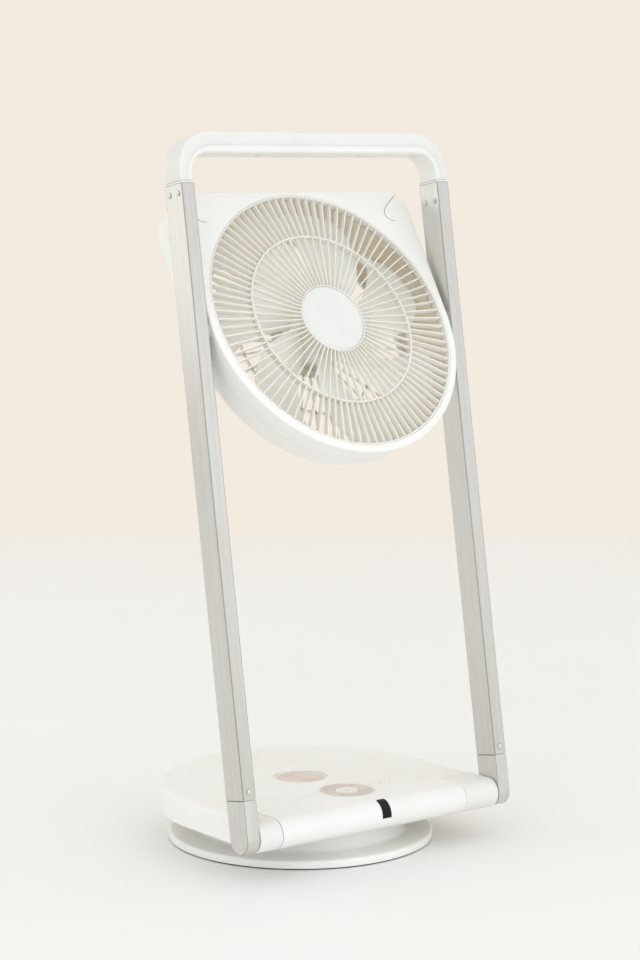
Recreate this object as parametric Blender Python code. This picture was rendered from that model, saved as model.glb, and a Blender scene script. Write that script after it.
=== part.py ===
"""Foldable fan on a swivelling base, every separate piece as its own object.

Metres, +Z up. The origin is on the floor, on the axis that the base swivels about.
The fan blows towards -Y, and the rails lean back towards +Y.
"""

import math

import bmesh
import bpy
from mathutils import Vector

# Gaps between pieces that touch on the real product, and inside running fits
GAP = 0.0003
RUNNING_GAP = 0.0003
WALL = 0.0022
MESH_MERGE = 0.000001

# The base: a body with straight sides, a round rear and a round front barrel
BASE_DEPTH = 0.299
BASE_SIDE_GAP = 0.001
BASE_BOTTOM = 0.037
BASE_TOP_FILLET = 0.006
BARREL_RADIUS = 0.0165
BARREL_TOP_STEP = 0.0002
HINGE_HEIGHT = 0.051
PAN_LIFT = 0.0005
PAN_THICKNESS = 0.0025
PAN_FRONT_OFFSET = 0.0125

# The end caps of the barrel: the photographed right one is the longer
CAP_LENGTH_LEFT = 0.029
CAP_LENGTH_RIGHT = 0.0475
CAP_BACK = 0.030

# What sits in the base's top
CONTROL_BEHIND_HINGE = 0.049
CONTROL_RING_RADIUS = 0.0315
CONTROL_RING_BORE = 0.0133
CONTROL_FLANGE = 0.0020
CONTROL_PLATE = 0.0010
BUTTON_RADIUS = 0.0065
BUTTON_TRAVEL = 0.0010
CONTROL_PROUD = 0.0003
DOCK_RADIUS = 0.0308
DOCK_FLOOR_THICKNESS = 0.0015
DOCK_FLOOR_LIP = 0.0030
BOARD_THICKNESS = 0.0016
BOARD_HALF_LENGTH = 0.045
BOARD_HALF_DEPTH = 0.040
BOARD_DROP = 0.0026
BOARD_POST_RADIUS = 0.003
BOARD_POST_INSET = 0.005
WINDOW_X = 0.004
WINDOW_WIDTH = 0.012
WINDOW_THICKNESS = 0.0016
WINDOW_LOW_ANGLE = -6
WINDOW_HIGH_ANGLE = 78

# What sits at the base's rear
INLET_HALF_WIDTH = 0.0055
INLET_DEPTH = 0.012
INLET_HEIGHT = 0.011
INLET_BORE = 0.0032
INLET_BORE_DEPTH = 0.009
INLET_PIN = 0.0009
INLET_HOLE = 0.0042
POWER_BOARD_LENGTH = 0.070
POWER_BOARD_WIDTH = 0.045
POWER_BOARD_INSET = 0.057
POWER_BOARD_LIFT = 0.0050

# The turntable that the base swivels on
PLATE_RADIUS = 0.1475
PLATE_UNDERSIDE = 0.0025
PLATE_RIM_HEIGHT = 0.0073
PLATE_RIM_ROUND = 0.0036
PLATE_SLOPE = 0.0014
NECK_LEDGE = 0.0325
NECK_WALL = 0.0035
NECK_TOP = 0.0355
NECK_FILLET = 0.004
NECK_EDGE = 0.001
DISC_THICKNESS = 0.0030
HUB_RADIUS = 0.022
HUB_BORE = 0.0185
FOOT_INSET = 0.0025
FOOT_WIDTH = 0.0075
FOOT_HEIGHT = 0.0022
BOTTOM_COVER_INSET = 0.0039
BOTTOM_COVER_THICKNESS = 0.0020
BOTTOM_COVER_HOLE = 0.010
BALLAST_INNER = 0.030
BALLAST_INSET = 0.0035
BALLAST_THICKNESS = 0.006
SLIDE_INSET = 0.015
SLIDE_WIDTH = 0.018
SLIDE_THICKNESS = 0.0014

# The swivel drive: a fixed gear on the hub, and a pinion that the motor turns round it
GEAR_MODULE = 0.001
GEAR_TEETH = 52
PINION_TEETH = 13
GEAR_THICKNESS = 0.004
DEDENDUM = 1.25
TOOTH_HALF_AT_TIP = 0.00028
TOOTH_HALF_AT_ROOT = 0.00090
GEAR_CENTRE_PLAY = 0.0001
NUT_THICKNESS = 0.003
NUT_RADIUS = 0.027
HUB_ABOVE_NUT = 0.0004
PINION_SHAFT_RADIUS = 0.002
PINION_SHAFT_LENGTH = 0.0085
SWIVEL_MOTOR_RADIUS = 0.018
SWIVEL_MOTOR_HEIGHT = 0.013
SWIVEL_MOTOR_CLEARANCE = 0.0010
SWIVEL_LUG_REACH = 0.023
SWIVEL_LUG_RADIUS = 0.0035
SWIVEL_LUG_THICKNESS = 0.0015
SWIVEL_POST_RADIUS = 0.003

# The folding frame: two rails, their cast feet and the handle
FRAME_WIDTH = 0.360
RAIL_WIDTH = 0.016
RAIL_DEPTH = 0.0315
RAIL_WALL = 0.0016
RAIL_CORNER = 0.0008
RAIL_LEAN = 9.5
ARM_LENGTH = 0.041
ARM_TENON = 0.025
RAIL_TOP = 0.682
SHAFT_RADIUS = 0.006
SHAFT_IN_ARM = 0.0122
SHAFT_BEYOND_BRACKET = 0.010
BRACKET_INSET = 0.069
BRACKET_THICKNESS = 0.006
BRACKET_RADIUS = 0.0125
BRACKET_REACH = 0.040
BRACKET_HEIGHT = 0.0157
BUSH_THICKNESS = 0.0018
HINGE_NUT_THICKNESS = 0.005
HINGE_NUT_RADIUS = 0.010
ARM_SCREW_ABOVE = 0.0087
RAIL_SCREW_DROP = 0.014
RAIL_SCREW_SPACING = 0.016
SCREW_RADIUS = 0.0015
SCREW_HEAD_RADIUS = 0.0023
SCREW_HEAD_THICKNESS = 0.0007
SCREW_LENGTH = 0.010

# The handle: an outer shell and a grip under it, parted along a curve
HANDLE_RISE = 0.055
HANDLE_HEIGHT = 0.0235
HANDLE_SHELL_BAR = 0.015
HANDLE_SHELL_LEG = 0.009
HANDLE_OUTER_RADIUS = 0.042
HANDLE_PARTING_RADIUS = 0.034
HANDLE_INNER_RADIUS = 0.020
HANDLE_OUTER_EDGE = 0.003
HANDLE_GRIP_EDGE = 0.009
HANDLE_ARC_STEPS = 5
COLLAR_HEIGHT = 0.0024
COLLAR_PROUD = 0.0003
TENON_LENGTH = 0.030
STUB_REACH = 0.003
GRIP_SCREW_SHARE = 0.375
GRIP_SCREW_INSET = 0.033
GRIP_SCREW_HEAD = 0.003
GRIP_SCREW_RECESS = 0.004
GRIP_SCREW_REACH = 0.0060
GRIP_BOSS_RADIUS = 0.0045

# The head: its pivot on the rails, its outline and its depth, seen from the pivot
HEAD_TO_HANDLE = 0.0269
HEAD_TILT = 31.0
HEAD_SIDE_GAP = 0.004
HEAD_TOP_DROP = 0.003
HEAD_CORNER = 0.0275
HEAD_FRONT = 0.0165
HEAD_BACK = 0.0455
HEAD_SEAM = 0.012
HEAD_TAPER = 0.0075
HEAD_FRONT_EDGE = 0.003
HEAD_BACK_EDGE = 0.018
HEAD_WALL = 0.0024
PIVOT_RADIUS = 0.004
PIVOT_HEAD_RADIUS = 0.006
PIVOT_HEAD_THICKNESS = 0.0025
PIVOT_REACH = 0.013
BOSS_RADIUS = 0.012
BOSS_SPIGOT = 0.008
BOSS_SPIGOT_REACH = 0.014
BOSS_REACH = 0.011

# The front grille and its cap
GRILLE_BORDER = 0.009
GRILLE_RIM = 0.0016
GRILLE_OUTER_BAND = 0.0505
GRILLE_MID_WIDTH = 0.0020
GRILLE_INNER_RADIUS = 0.0405
GRILLE_OUTER_FINS = 90
GRILLE_INNER_FINS = 60
GRILLE_FIN = 0.0013
GRILLE_DEPTH = 0.0080
CAP_RADIUS = 0.0385
CAP_DROP = 0.0005
CAP_THICKNESS = 0.003
CAP_EDGE = 0.0008

# The rear grille, which carries the motor
REAR_BORDER = 0.0045
REAR_GRILLE_RIM = 0.0040
REAR_OUTER_BAND = 0.045
REAR_MID_WIDTH = 0.0025
REAR_PLATE_RADIUS = 0.042
REAR_FINS = 30
REAR_FIN = 0.0020
REAR_GRILLE_DEPTH = 0.0030

# The motor and the fan
MOTOR_RADIUS = 0.033
MOTOR_LENGTH = 0.0265
MOTOR_EDGE = 0.003
MOTOR_BORE = 0.0045
MOTOR_BORE_DEPTH = 0.015
ROTOR_SHAFT_RADIUS = 0.004
ROTOR_SHAFT_FRONT = -0.0080
HUB_FRONT = -0.0060
HUB_LENGTH = 0.019
FAN_HUB_RADIUS = 0.038
FAN_HUB_WALL = 0.003
FAN_TIP_GAP = 0.008
BLADES = 7
BLADE_THICKNESS = 0.0018
BLADE_FRONT = -0.0035
BLADE_DEPTH = 0.0235
BLADE_CHORD = 41.0
BLADE_SWEEP = 24.0
BLADE_CAMBER = 0.0035
BLADE_TIP_NARROWING = 0.12
BLADE_ROOT_DEPTH_SHARE = 0.80
BLADE_TIP_DEPTH_SHARE = 0.50
BLADE_SWEEP_POWER = 1.5
BLADE_RADIAL_STEPS = 3
BLADE_CHORD_STEPS = 4
BLADE_NUT_RADIUS = 0.009
BLADE_NUT_LENGTH = 0.0045

# How many flats stand for a round, by its size, and how many steps for a curve
FLATS_WIDE = 48
FLATS_MIDDLE = 36
FLATS_CAP = 40
FLATS_BARREL = 32
FLATS_MOTOR = 28
FLATS_SMALL = 24
FLATS_GEARBOX = 20
FLATS_PIN = 16
FLATS_SCREW = 12
FLATS_THIN = 8
HEXAGON = 6
PLAN_STEPS = 24
BARREL_STEPS = 18
TOP_FILLET_STEPS = 3
WINDOW_STEPS = 10
RIM_STEPS = 4
BRACKET_STEPS = 12
ARM_STEPS = 14
SECTION_STEPS = 3
FRONT_EDGE_STEPS = 2
BACK_EDGE_STEPS = 4
INNER_EDGE_STEPS = 2

# Worked out from the sizes above
RAIL_OUTER = FRAME_WIDTH / 2
RAIL_INNER = RAIL_OUTER - RAIL_WIDTH
RAIL_CENTRE = RAIL_OUTER - RAIL_WIDTH / 2
BASE_HALF_WIDTH = RAIL_INNER - BASE_SIDE_GAP
HINGE_Y = -(BASE_DEPTH / 2 - BARREL_RADIUS)
REAR_CENTRE_Y = BASE_DEPTH / 2 - BASE_HALF_WIDTH
BASE_TOP = HINGE_HEIGHT + BARREL_RADIUS - BARREL_TOP_STEP
ROOF = BASE_TOP - WALL
PAN_BOTTOM = BASE_BOTTOM + PAN_LIFT
PAN_TOP = PAN_BOTTOM + PAN_THICKNESS
TENON_HALF_WIDTH = RAIL_WIDTH / 2 - RAIL_WALL - GAP
TENON_HALF_DEPTH = RAIL_DEPTH / 2 - RAIL_WALL - GAP
CAP_SEAM = {-1: BASE_HALF_WIDTH - CAP_LENGTH_LEFT, 1: BASE_HALF_WIDTH - CAP_LENGTH_RIGHT}
BOARD_TOP = ROOF - CONTROL_PLATE - BOARD_DROP
CONTROL_Y = HINGE_Y + CONTROL_BEHIND_HINGE
POWER_BOARD_Y = BASE_DEPTH / 2 - POWER_BOARD_INSET
NECK_RADIUS = PLATE_RADIUS - NECK_LEDGE
FOOT_OUTER = PLATE_RADIUS - FOOT_INSET
FOOT_INNER = FOOT_OUTER - FOOT_WIDTH
BOTTOM_COVER_RADIUS = FOOT_INNER - BOTTOM_COVER_INSET
BALLAST_OUTER = NECK_RADIUS - NECK_WALL - BALLAST_INSET
SLIDE_OUTER = NECK_RADIUS - SLIDE_INSET
SLIDE_INNER = SLIDE_OUTER - SLIDE_WIDTH
GEAR_BOTTOM = PAN_TOP + GAP
GEAR_TOP = GEAR_BOTTOM + GEAR_THICKNESS
NUT_TOP = GEAR_TOP + GAP + NUT_THICKNESS
HUB_TOP = NUT_TOP + HUB_ABOVE_NUT
GEAR_CENTRES = GEAR_MODULE * (GEAR_TEETH + PINION_TEETH) / 2 + GEAR_CENTRE_PLAY
SWIVEL_MOTOR_BOTTOM = HUB_TOP + SWIVEL_MOTOR_CLEARANCE
HANDLE_LEG_BOTTOM = RAIL_TOP + COLLAR_HEIGHT + 2 * GAP
HANDLE_TOP = RAIL_TOP + HANDLE_RISE
HANDLE_PARTING = HANDLE_TOP - HANDLE_SHELL_BAR
HANDLE_UNDERSIDE = HANDLE_TOP - HANDLE_HEIGHT
BRACKET_X = BASE_HALF_WIDTH - BRACKET_INSET
SHAFT_INNER_END = BRACKET_X - SHAFT_BEYOND_BRACKET
ARM_SCREW_ALONG = ARM_LENGTH + ARM_SCREW_ABOVE
RAIL_SCREW_ALONG = RAIL_TOP - RAIL_SCREW_DROP
GRIP_SCREW_X = GRIP_SCREW_SHARE * RAIL_OUTER
GRIP_SCREW_OUTER_X = RAIL_OUTER - GRIP_SCREW_INSET
HEAD_RADIUS = RAIL_INNER - HEAD_SIDE_GAP
HEAD_TOP = HEAD_RADIUS - HEAD_TOP_DROP
HEAD_ALONG = HANDLE_UNDERSIDE - HEAD_TOP - HEAD_TO_HANDLE
PIVOT_INNER_X = RAIL_INNER - PIVOT_REACH
BOSS_INNER_X = RAIL_INNER - BOSS_SPIGOT_REACH
BOSS_BASE_X = RAIL_INNER - BOSS_REACH
GRILLE_RADIUS = HEAD_RADIUS - GRILLE_BORDER
GRILLE_MID_RADIUS = GRILLE_RADIUS - GRILLE_OUTER_BAND
REAR_GRILLE_RADIUS = HEAD_RADIUS - HEAD_TAPER - HEAD_BACK_EDGE - REAR_BORDER
REAR_MID_RADIUS = REAR_GRILLE_RADIUS - REAR_OUTER_BAND
FAN_RADIUS = GRILLE_RADIUS - FAN_TIP_GAP
SIDES = {"left": -1, "right": 1}


def clear_scene():
    for old in list(bpy.data.objects):
        bpy.data.objects.remove(old, do_unlink=True)


def material(name, color, roughness, metallic=0.0):
    made = bpy.data.materials.new(name)
    made.use_nodes = True
    shader = made.node_tree.nodes["Principled BSDF"]
    shader.inputs["Base Color"].default_value = (*color, 1.0)
    shader.inputs["Roughness"].default_value = roughness
    shader.inputs["Metallic"].default_value = metallic
    made.diffuse_color = (*color, 1.0)
    return made


def empty(name, location=(0, 0, 0), tilt=0.0, parent=None):
    """An axis that other objects hang on. Tilt turns it about X, in degrees, backwards when positive."""
    axis = bpy.data.objects.new(name, None)
    axis.location = location
    axis.rotation_euler = (-math.radians(tilt), 0, 0)
    axis.parent = parent
    bpy.context.scene.collection.objects.link(axis)
    return axis


def finish(bm, name, look, parent=None, smooth=30):
    """Turns a bmesh into an object with its faces pointing out."""
    bmesh.ops.remove_doubles(bm, verts=bm.verts, dist=MESH_MERGE)
    bmesh.ops.recalc_face_normals(bm, faces=bm.faces)
    mesh = bpy.data.meshes.new(name)
    bm.to_mesh(mesh)
    bm.free()
    mesh.shade_smooth()
    mesh.set_sharp_from_angle(angle=math.radians(smooth))
    obj = bpy.data.objects.new(name, mesh)
    if look:
        obj.data.materials.append(look)
    obj.parent = parent
    bpy.context.scene.collection.objects.link(obj)
    return obj


def skin(name, rings, look, parent=None, loop=False, smooth=30):
    """A solid through rings of equally many points. A loop joins its last ring to its first."""
    bm = bmesh.new()
    rows = [[bm.verts.new(point) for point in ring] for ring in rings]
    pairs = list(zip(rows, rows[1:]))
    if loop:
        pairs.append((rows[-1], rows[0]))
    for one, other in pairs:
        for i in range(len(one)):
            j = (i + 1) % len(one)
            bm.faces.new((one[i], one[j], other[j], other[i]))
    if not loop:
        bm.faces.new(rows[0])
        bm.faces.new(rows[-1])
    return finish(bm, name, look, parent, smooth)


def extruded(name, faces, start, end, place, look, parent=None, smooth=30):
    """Flat faces, given as lists of 2-D points, pulled from start to end along the third axis."""
    bm = bmesh.new()
    known = {}
    for face in faces:
        corners = []
        for u, v in face:
            key = (round(u, 7), round(v, 7))
            if key not in known:
                known[key] = bm.verts.new(place(u, v, start))
            corners.append(known[key])
        bm.faces.new(corners)
    move = Vector(place(0, 0, end)) - Vector(place(0, 0, start))
    pulled = bmesh.ops.extrude_face_region(bm, geom=bm.faces[:])["geom"]
    verts = [item for item in pulled if isinstance(item, bmesh.types.BMVert)]
    bmesh.ops.translate(bm, verts=verts, vec=move)
    return finish(bm, name, look, parent, smooth)


def along_z(u, v, w):
    return (u, v, w)


def along_x(u, v, w):
    """u is Y and v is Z."""
    return (w, u, v)


def along_y(u, v, w):
    """u is X and v is Z."""
    return (u, w, v)


def turned(name, profile, look, flats=FLATS_WIDE, place=along_z, parent=None, centre=(0, 0), smooth=30):
    """A closed profile of (radius, height) turned about an axis, as a bore or a solid."""
    bm = bmesh.new()
    cu, cv = centre
    turns = [2 * math.pi * k / flats for k in range(flats)]
    rows = []
    for radius, height in profile:
        if radius < MESH_MERGE:
            rows.append([bm.verts.new(place(cu, cv, height))])
        else:
            ring = [place(cu + radius * math.cos(a), cv + radius * math.sin(a), height) for a in turns]
            rows.append([bm.verts.new(point) for point in ring])
    for one, other in zip(rows, rows[1:] + rows[:1]):
        if len(one) == 1 and len(other) == 1:
            continue
        for i in range(flats):
            j = (i + 1) % flats
            if len(one) == 1:
                bm.faces.new((one[0], other[j], other[i]))
            elif len(other) == 1:
                bm.faces.new((one[i], one[j], other[0]))
            else:
                bm.faces.new((one[i], one[j], other[j], other[i]))
    return finish(bm, name, look, parent, smooth)


def cylinder(name, radius, start, end, look, flats=FLATS_SMALL, place=along_z, parent=None, centre=(0, 0)):
    profile = [(0, start), (radius, start), (radius, end), (0, end)]
    return turned(name, profile, look, flats, place, parent, centre)


def tube(name, inner, outer, start, end, look, flats=FLATS_WIDE, place=along_z, parent=None, centre=(0, 0)):
    profile = [(inner, start), (outer, start), (outer, end), (inner, end)]
    return turned(name, profile, look, flats, place, parent, centre)


def box(name, low, high, look, parent=None):
    corners = [(low[0], low[1]), (high[0], low[1]), (high[0], high[1]), (low[0], high[1])]
    return extruded(name, [corners], low[2], high[2], along_z, look, parent)


def gather(name, pieces, parent):
    """One helper made of several that don't touch each other, so that one Boolean takes them all."""
    bm = bmesh.new()
    for piece in pieces:
        bm.from_mesh(piece.data)
        bpy.data.objects.remove(piece, do_unlink=True)
    return finish(bm, name, None, parent)


def combine(obj, other, operation):
    """A Boolean on obj. The other object becomes a helper that is never rendered."""
    other.hide_render = True
    other.display_type = "WIRE"
    modifier = obj.modifiers.new(operation.title() + " " + other.name, "BOOLEAN")
    modifier.operation = operation
    modifier.solver = "EXACT"
    modifier.object = other
    return obj


def cut(obj, other):
    return combine(obj, other, "DIFFERENCE")


def add(obj, other):
    return combine(obj, other, "UNION")


def arc(centre, radius, start, end, steps):
    """Points on a circle, from one angle in degrees to another, both ends included."""
    angles = [math.radians(start + (end - start) * k / steps) for k in range(steps + 1)]
    return [(centre[0] + radius * math.cos(a), centre[1] + radius * math.sin(a)) for a in angles]


def rounded_rectangle(half_u, half_v, radius, steps=2, centre=(0, 0)):
    points = []
    for sign_u, sign_v, start in ((1, 1, 0), (-1, 1, 90), (-1, -1, 180), (1, -1, 270)):
        middle = (centre[0] + sign_u * (half_u - radius), centre[1] + sign_v * (half_v - radius))
        points += arc(middle, radius, start, start + 90, steps)
    return points


# The base


def base_plan(inset, front):
    """The body seen from above: straight sides from the front to a round rear."""
    half = BASE_HALF_WIDTH - inset
    rear = arc((0, REAR_CENTRE_Y), half, 0, 180, PLAN_STEPS)
    return [(half, front)] + rear + [(-half, front)]


def barrel_profile(end):
    """The body seen from the side: flat top, round front barrel, flat bottom, back to y = end."""
    drop = math.degrees(math.asin((HINGE_HEIGHT - BASE_BOTTOM) / BARREL_RADIUS))
    top = math.degrees(math.asin((BASE_TOP - HINGE_HEIGHT) / BARREL_RADIUS))
    front = arc((HINGE_Y, HINGE_HEIGHT), BARREL_RADIUS, 180 - top, 360 - drop, BARREL_STEPS)
    return [(end, BASE_TOP)] + front + [(end, BASE_BOTTOM)]


def cavity_plan(inset):
    """The hollow under the roof, which the pan closes: it steps in behind each end cap."""
    half = BASE_HALF_WIDTH - inset
    front = HINGE_Y + PAN_FRONT_OFFSET + (inset - WALL)
    step = HINGE_Y + CAP_BACK + inset
    left = CAP_SEAM[-1] - inset
    right = CAP_SEAM[1] - inset
    rear = arc((0, REAR_CENTRE_Y), half, 0, 180, PLAN_STEPS)
    sides = [(right, front), (right, step), (half, step)]
    return sides + rear + [(-half, step), (-left, step), (-left, front)]


def make_base_cover(look, swivel):
    """Roof, sides and barrel in one shell, with the openings for what shows in them."""
    below = BASE_BOTTOM - 2 * BARREL_RADIUS
    beyond = BASE_DEPTH
    rings = [[(x, y, below) for x, y in base_plan(0, -beyond)]]
    for k in range(TOP_FILLET_STEPS + 1):
        turn = math.radians(90 * k / TOP_FILLET_STEPS)
        inset = BASE_TOP_FILLET * (1 - math.cos(turn))
        height = BASE_TOP - BASE_TOP_FILLET * (1 - math.sin(turn))
        rings.append([(x, y, height) for x, y in base_plan(inset, -beyond)])
    cover = skin("base_cover", rings, look, swivel)
    # The side profile's top stands clear of the roof, so that only the plan's own top cuts it
    side = [(y, z + BARREL_TOP_STEP * (z > BASE_TOP - MESH_MERGE)) for y, z in barrel_profile(beyond)]
    combine(cover, extruded("side_profile", [side], -beyond, beyond, along_x, None, swivel), "INTERSECT")
    notches = []
    for sign in SIDES.values():
        ends = sorted((sign * CAP_SEAM[sign], sign * beyond))
        behind = HINGE_Y + CAP_BACK
        notches.append(box("notch", (ends[0], -beyond, below), (ends[1], behind, beyond), None))
    cut(cover, gather("cap_notches", notches, swivel))
    cut(cover, extruded("cavity", [cavity_plan(WALL)], below, ROOF, along_z, None, swivel))
    low = (-(CAP_SEAM[-1] - WALL), HINGE_Y, PAN_TOP)
    high = (CAP_SEAM[1] - WALL, HINGE_Y + PAN_FRONT_OFFSET + WALL, ROOF - GAP)
    cut(cover, box("cavity_forward", low, high, None, swivel))
    bore = BARREL_RADIUS - WALL
    hinge = (HINGE_Y, HINGE_HEIGHT)
    cut(cover, cylinder("barrel_bore", bore, -beyond, beyond, None, FLATS_MIDDLE, along_x, swivel, hinge))
    posts = []
    span = (BOARD_TOP + GAP, ROOF + WALL / 2)
    for place in board_posts():
        posts.append(cylinder("post", BOARD_POST_RADIUS, *span, None, FLATS_SCREW, centre=place))
    add(cover, gather("roof_posts", posts, swivel))
    control = CONTROL_RING_RADIUS + RUNNING_GAP
    middle = (0, CONTROL_Y)
    inlet = (0, inlet_height())
    holes = [
        cylinder("hole", control, BOARD_TOP, beyond, None, FLATS_MIDDLE, centre=middle),
        cylinder("hole", DOCK_RADIUS, BASE_BOTTOM, beyond, None, FLATS_MIDDLE),
        cylinder("hole", INLET_HOLE, REAR_CENTRE_Y, beyond, None, FLATS_SMALL, along_y, centre=inlet),
        window_solid("hole", WALL + GAP, GAP, GAP, None, None),
    ]
    cut(cover, gather("cover_holes", holes, swivel))
    return cover


def window_solid(name, depth, ease, proud, look, parent):
    """A curved plate on the barrel, from under its middle to near its top."""
    outer = BARREL_RADIUS + proud
    inner = BARREL_RADIUS - depth
    half = WINDOW_WIDTH / 2 + ease
    spread = math.degrees(ease / BARREL_RADIUS)
    low = 180 - (WINDOW_LOW_ANGLE - spread)
    high = 180 - (WINDOW_HIGH_ANGLE + spread)
    rings = []
    for k in range(WINDOW_STEPS + 1):
        turn = math.radians(low + (high - low) * k / WINDOW_STEPS)
        ring = []
        for x, radius in ((-half, inner), (half, inner), (half, outer), (-half, outer)):
            y = HINGE_Y + radius * math.cos(turn)
            z = HINGE_HEIGHT + radius * math.sin(turn)
            ring.append((WINDOW_X + x, y, z))
        rings.append(ring)
    return skin(name, rings, look, parent)


def inlet_height():
    return PAN_TOP + GAP + INLET_HEIGHT / 2


def board_posts():
    reach_x = BOARD_HALF_LENGTH - BOARD_POST_INSET
    reach_y = BOARD_HALF_DEPTH - BOARD_POST_INSET
    return [(sx * reach_x, CONTROL_Y + sy * reach_y) for sx in (-1, 1) for sy in (-1, 1)]


def power_board_posts():
    reach_x = POWER_BOARD_LENGTH / 2 - BOARD_POST_INSET
    reach_y = POWER_BOARD_WIDTH / 2 - BOARD_POST_INSET
    return [(sx * reach_x, POWER_BOARD_Y + sy * reach_y) for sx in (-1, 1) for sy in (-1, 1)]


def make_base_pan(look, swivel):
    """The plate that closes the base from below, with the posts that stand on it."""
    pan = extruded("base_pan", [cavity_plan(WALL + GAP)], PAN_BOTTOM, PAN_TOP, along_z, look, swivel)
    hole = HUB_RADIUS + RUNNING_GAP
    cut(pan, cylinder("hub_hole", hole, 0, BASE_TOP, None, FLATS_WIDE, along_z, swivel))
    low = (PAN_BOTTOM + PAN_TOP) / 2
    posts = []
    high = PAN_TOP + POWER_BOARD_LIFT
    for place in power_board_posts():
        posts.append(cylinder("post", BOARD_POST_RADIUS, low, high, None, FLATS_SCREW, centre=place))
    high = SWIVEL_MOTOR_BOTTOM - GAP
    for sign in SIDES.values():
        place = (sign * SWIVEL_LUG_REACH, GEAR_CENTRES)
        posts.append(cylinder("post", SWIVEL_POST_RADIUS, low, high, None, FLATS_SCREW, centre=place))
    add(pan, gather("pan_posts", posts, swivel))
    return pan


def make_end_cap(side, look, swivel):
    """The barrel's end, with the strip of roof behind it, bored for the hinge shaft."""
    sign = SIDES[side]
    ends = sorted((sign * (CAP_SEAM[sign] + GAP), sign * BASE_HALF_WIDTH))
    profile = barrel_profile(HINGE_Y + CAP_BACK - GAP)
    cap = extruded("end_cap_" + side, [profile], ends[0], ends[1], along_x, look, swivel)
    bore = SHAFT_RADIUS + RUNNING_GAP
    hinge = (HINGE_Y, HINGE_HEIGHT)
    cut(cap, cylinder("cap_bore_" + side, bore, *bore_span(sign), None, FLATS_BARREL, along_x, swivel, hinge))
    return cap


def bore_span(sign):
    return sorted((sign * BRACKET_X / 2, sign * FRAME_WIDTH))


def make_controls(looks, swivel):
    """The control ring and the button in it, the ring between them, and the board under them."""
    control = (0, CONTROL_Y)
    top = BASE_TOP + CONTROL_PROUD
    shoulder = ROOF - GAP
    foot = shoulder - CONTROL_PLATE
    flange = CONTROL_RING_RADIUS + CONTROL_FLANGE
    ring = [
        (CONTROL_RING_BORE, foot),
        (flange, foot),
        (flange, shoulder),
        (CONTROL_RING_RADIUS, shoulder),
        (CONTROL_RING_RADIUS, top - CONTROL_PROUD),
        (CONTROL_RING_RADIUS - CONTROL_PROUD, top),
        (CONTROL_RING_BORE, top),
    ]
    turned("control_ring", ring, looks["rose"], FLATS_MIDDLE, along_z, swivel, control)
    inner = BUTTON_RADIUS + RUNNING_GAP
    outer = CONTROL_RING_BORE - RUNNING_GAP
    span = (BOARD_TOP + GAP, top)
    tube("button_surround", inner, outer, *span, looks["white"], FLATS_SMALL, along_z, swivel, control)
    low = BOARD_TOP + BUTTON_TRAVEL + GAP
    cylinder("power_button", BUTTON_RADIUS, low, top, looks["rose"], FLATS_SMALL, along_z, swivel, control)
    board_low = (-BOARD_HALF_LENGTH, CONTROL_Y - BOARD_HALF_DEPTH, BOARD_TOP - BOARD_THICKNESS)
    board_high = (BOARD_HALF_LENGTH, CONTROL_Y + BOARD_HALF_DEPTH, BOARD_TOP)
    box("control_board", board_low, board_high, looks["board"], swivel)
    dock_top = ROOF - GAP
    dock = (DOCK_RADIUS + DOCK_FLOOR_LIP, dock_top - DOCK_FLOOR_THICKNESS, dock_top)
    cylinder("dock_floor", *dock, looks["rose"], FLATS_MIDDLE, along_z, swivel)
    window_solid("receiver_window", WINDOW_THICKNESS, 0, 0, looks["black"], swivel)


def make_power(looks, swivel):
    """The board and the inlet at the base's rear."""
    bottom = PAN_TOP + POWER_BOARD_LIFT + GAP
    half_x = POWER_BOARD_LENGTH / 2
    half_y = POWER_BOARD_WIDTH / 2
    low = (-half_x, POWER_BOARD_Y - half_y, bottom)
    high = (half_x, POWER_BOARD_Y + half_y, bottom + BOARD_THICKNESS)
    box("power_board", low, high, looks["board"], swivel)
    rear = BASE_DEPTH / 2 - WALL - 2 * GAP
    front = rear - INLET_DEPTH
    low = (-INLET_HALF_WIDTH, front, PAN_TOP + GAP)
    high = (INLET_HALF_WIDTH, rear, PAN_TOP + GAP + INLET_HEIGHT)
    inlet = box("power_inlet", low, high, looks["black"], swivel)
    centre = (0, inlet_height())
    mouth = rear - INLET_BORE_DEPTH
    profile = [(INLET_PIN, mouth), (INLET_BORE, mouth), (INLET_BORE, rear + WALL), (INLET_PIN, rear + WALL)]
    cut(inlet, turned("inlet_bore", profile, None, FLATS_SMALL, along_y, swivel, centre))
    span = (rear - INLET_BORE / 2, rear + WALL)
    cut(inlet, cylinder("inlet_tip", INLET_PIN * 2, *span, None, FLATS_SMALL, along_y, swivel, centre))


# The turntable


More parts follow.
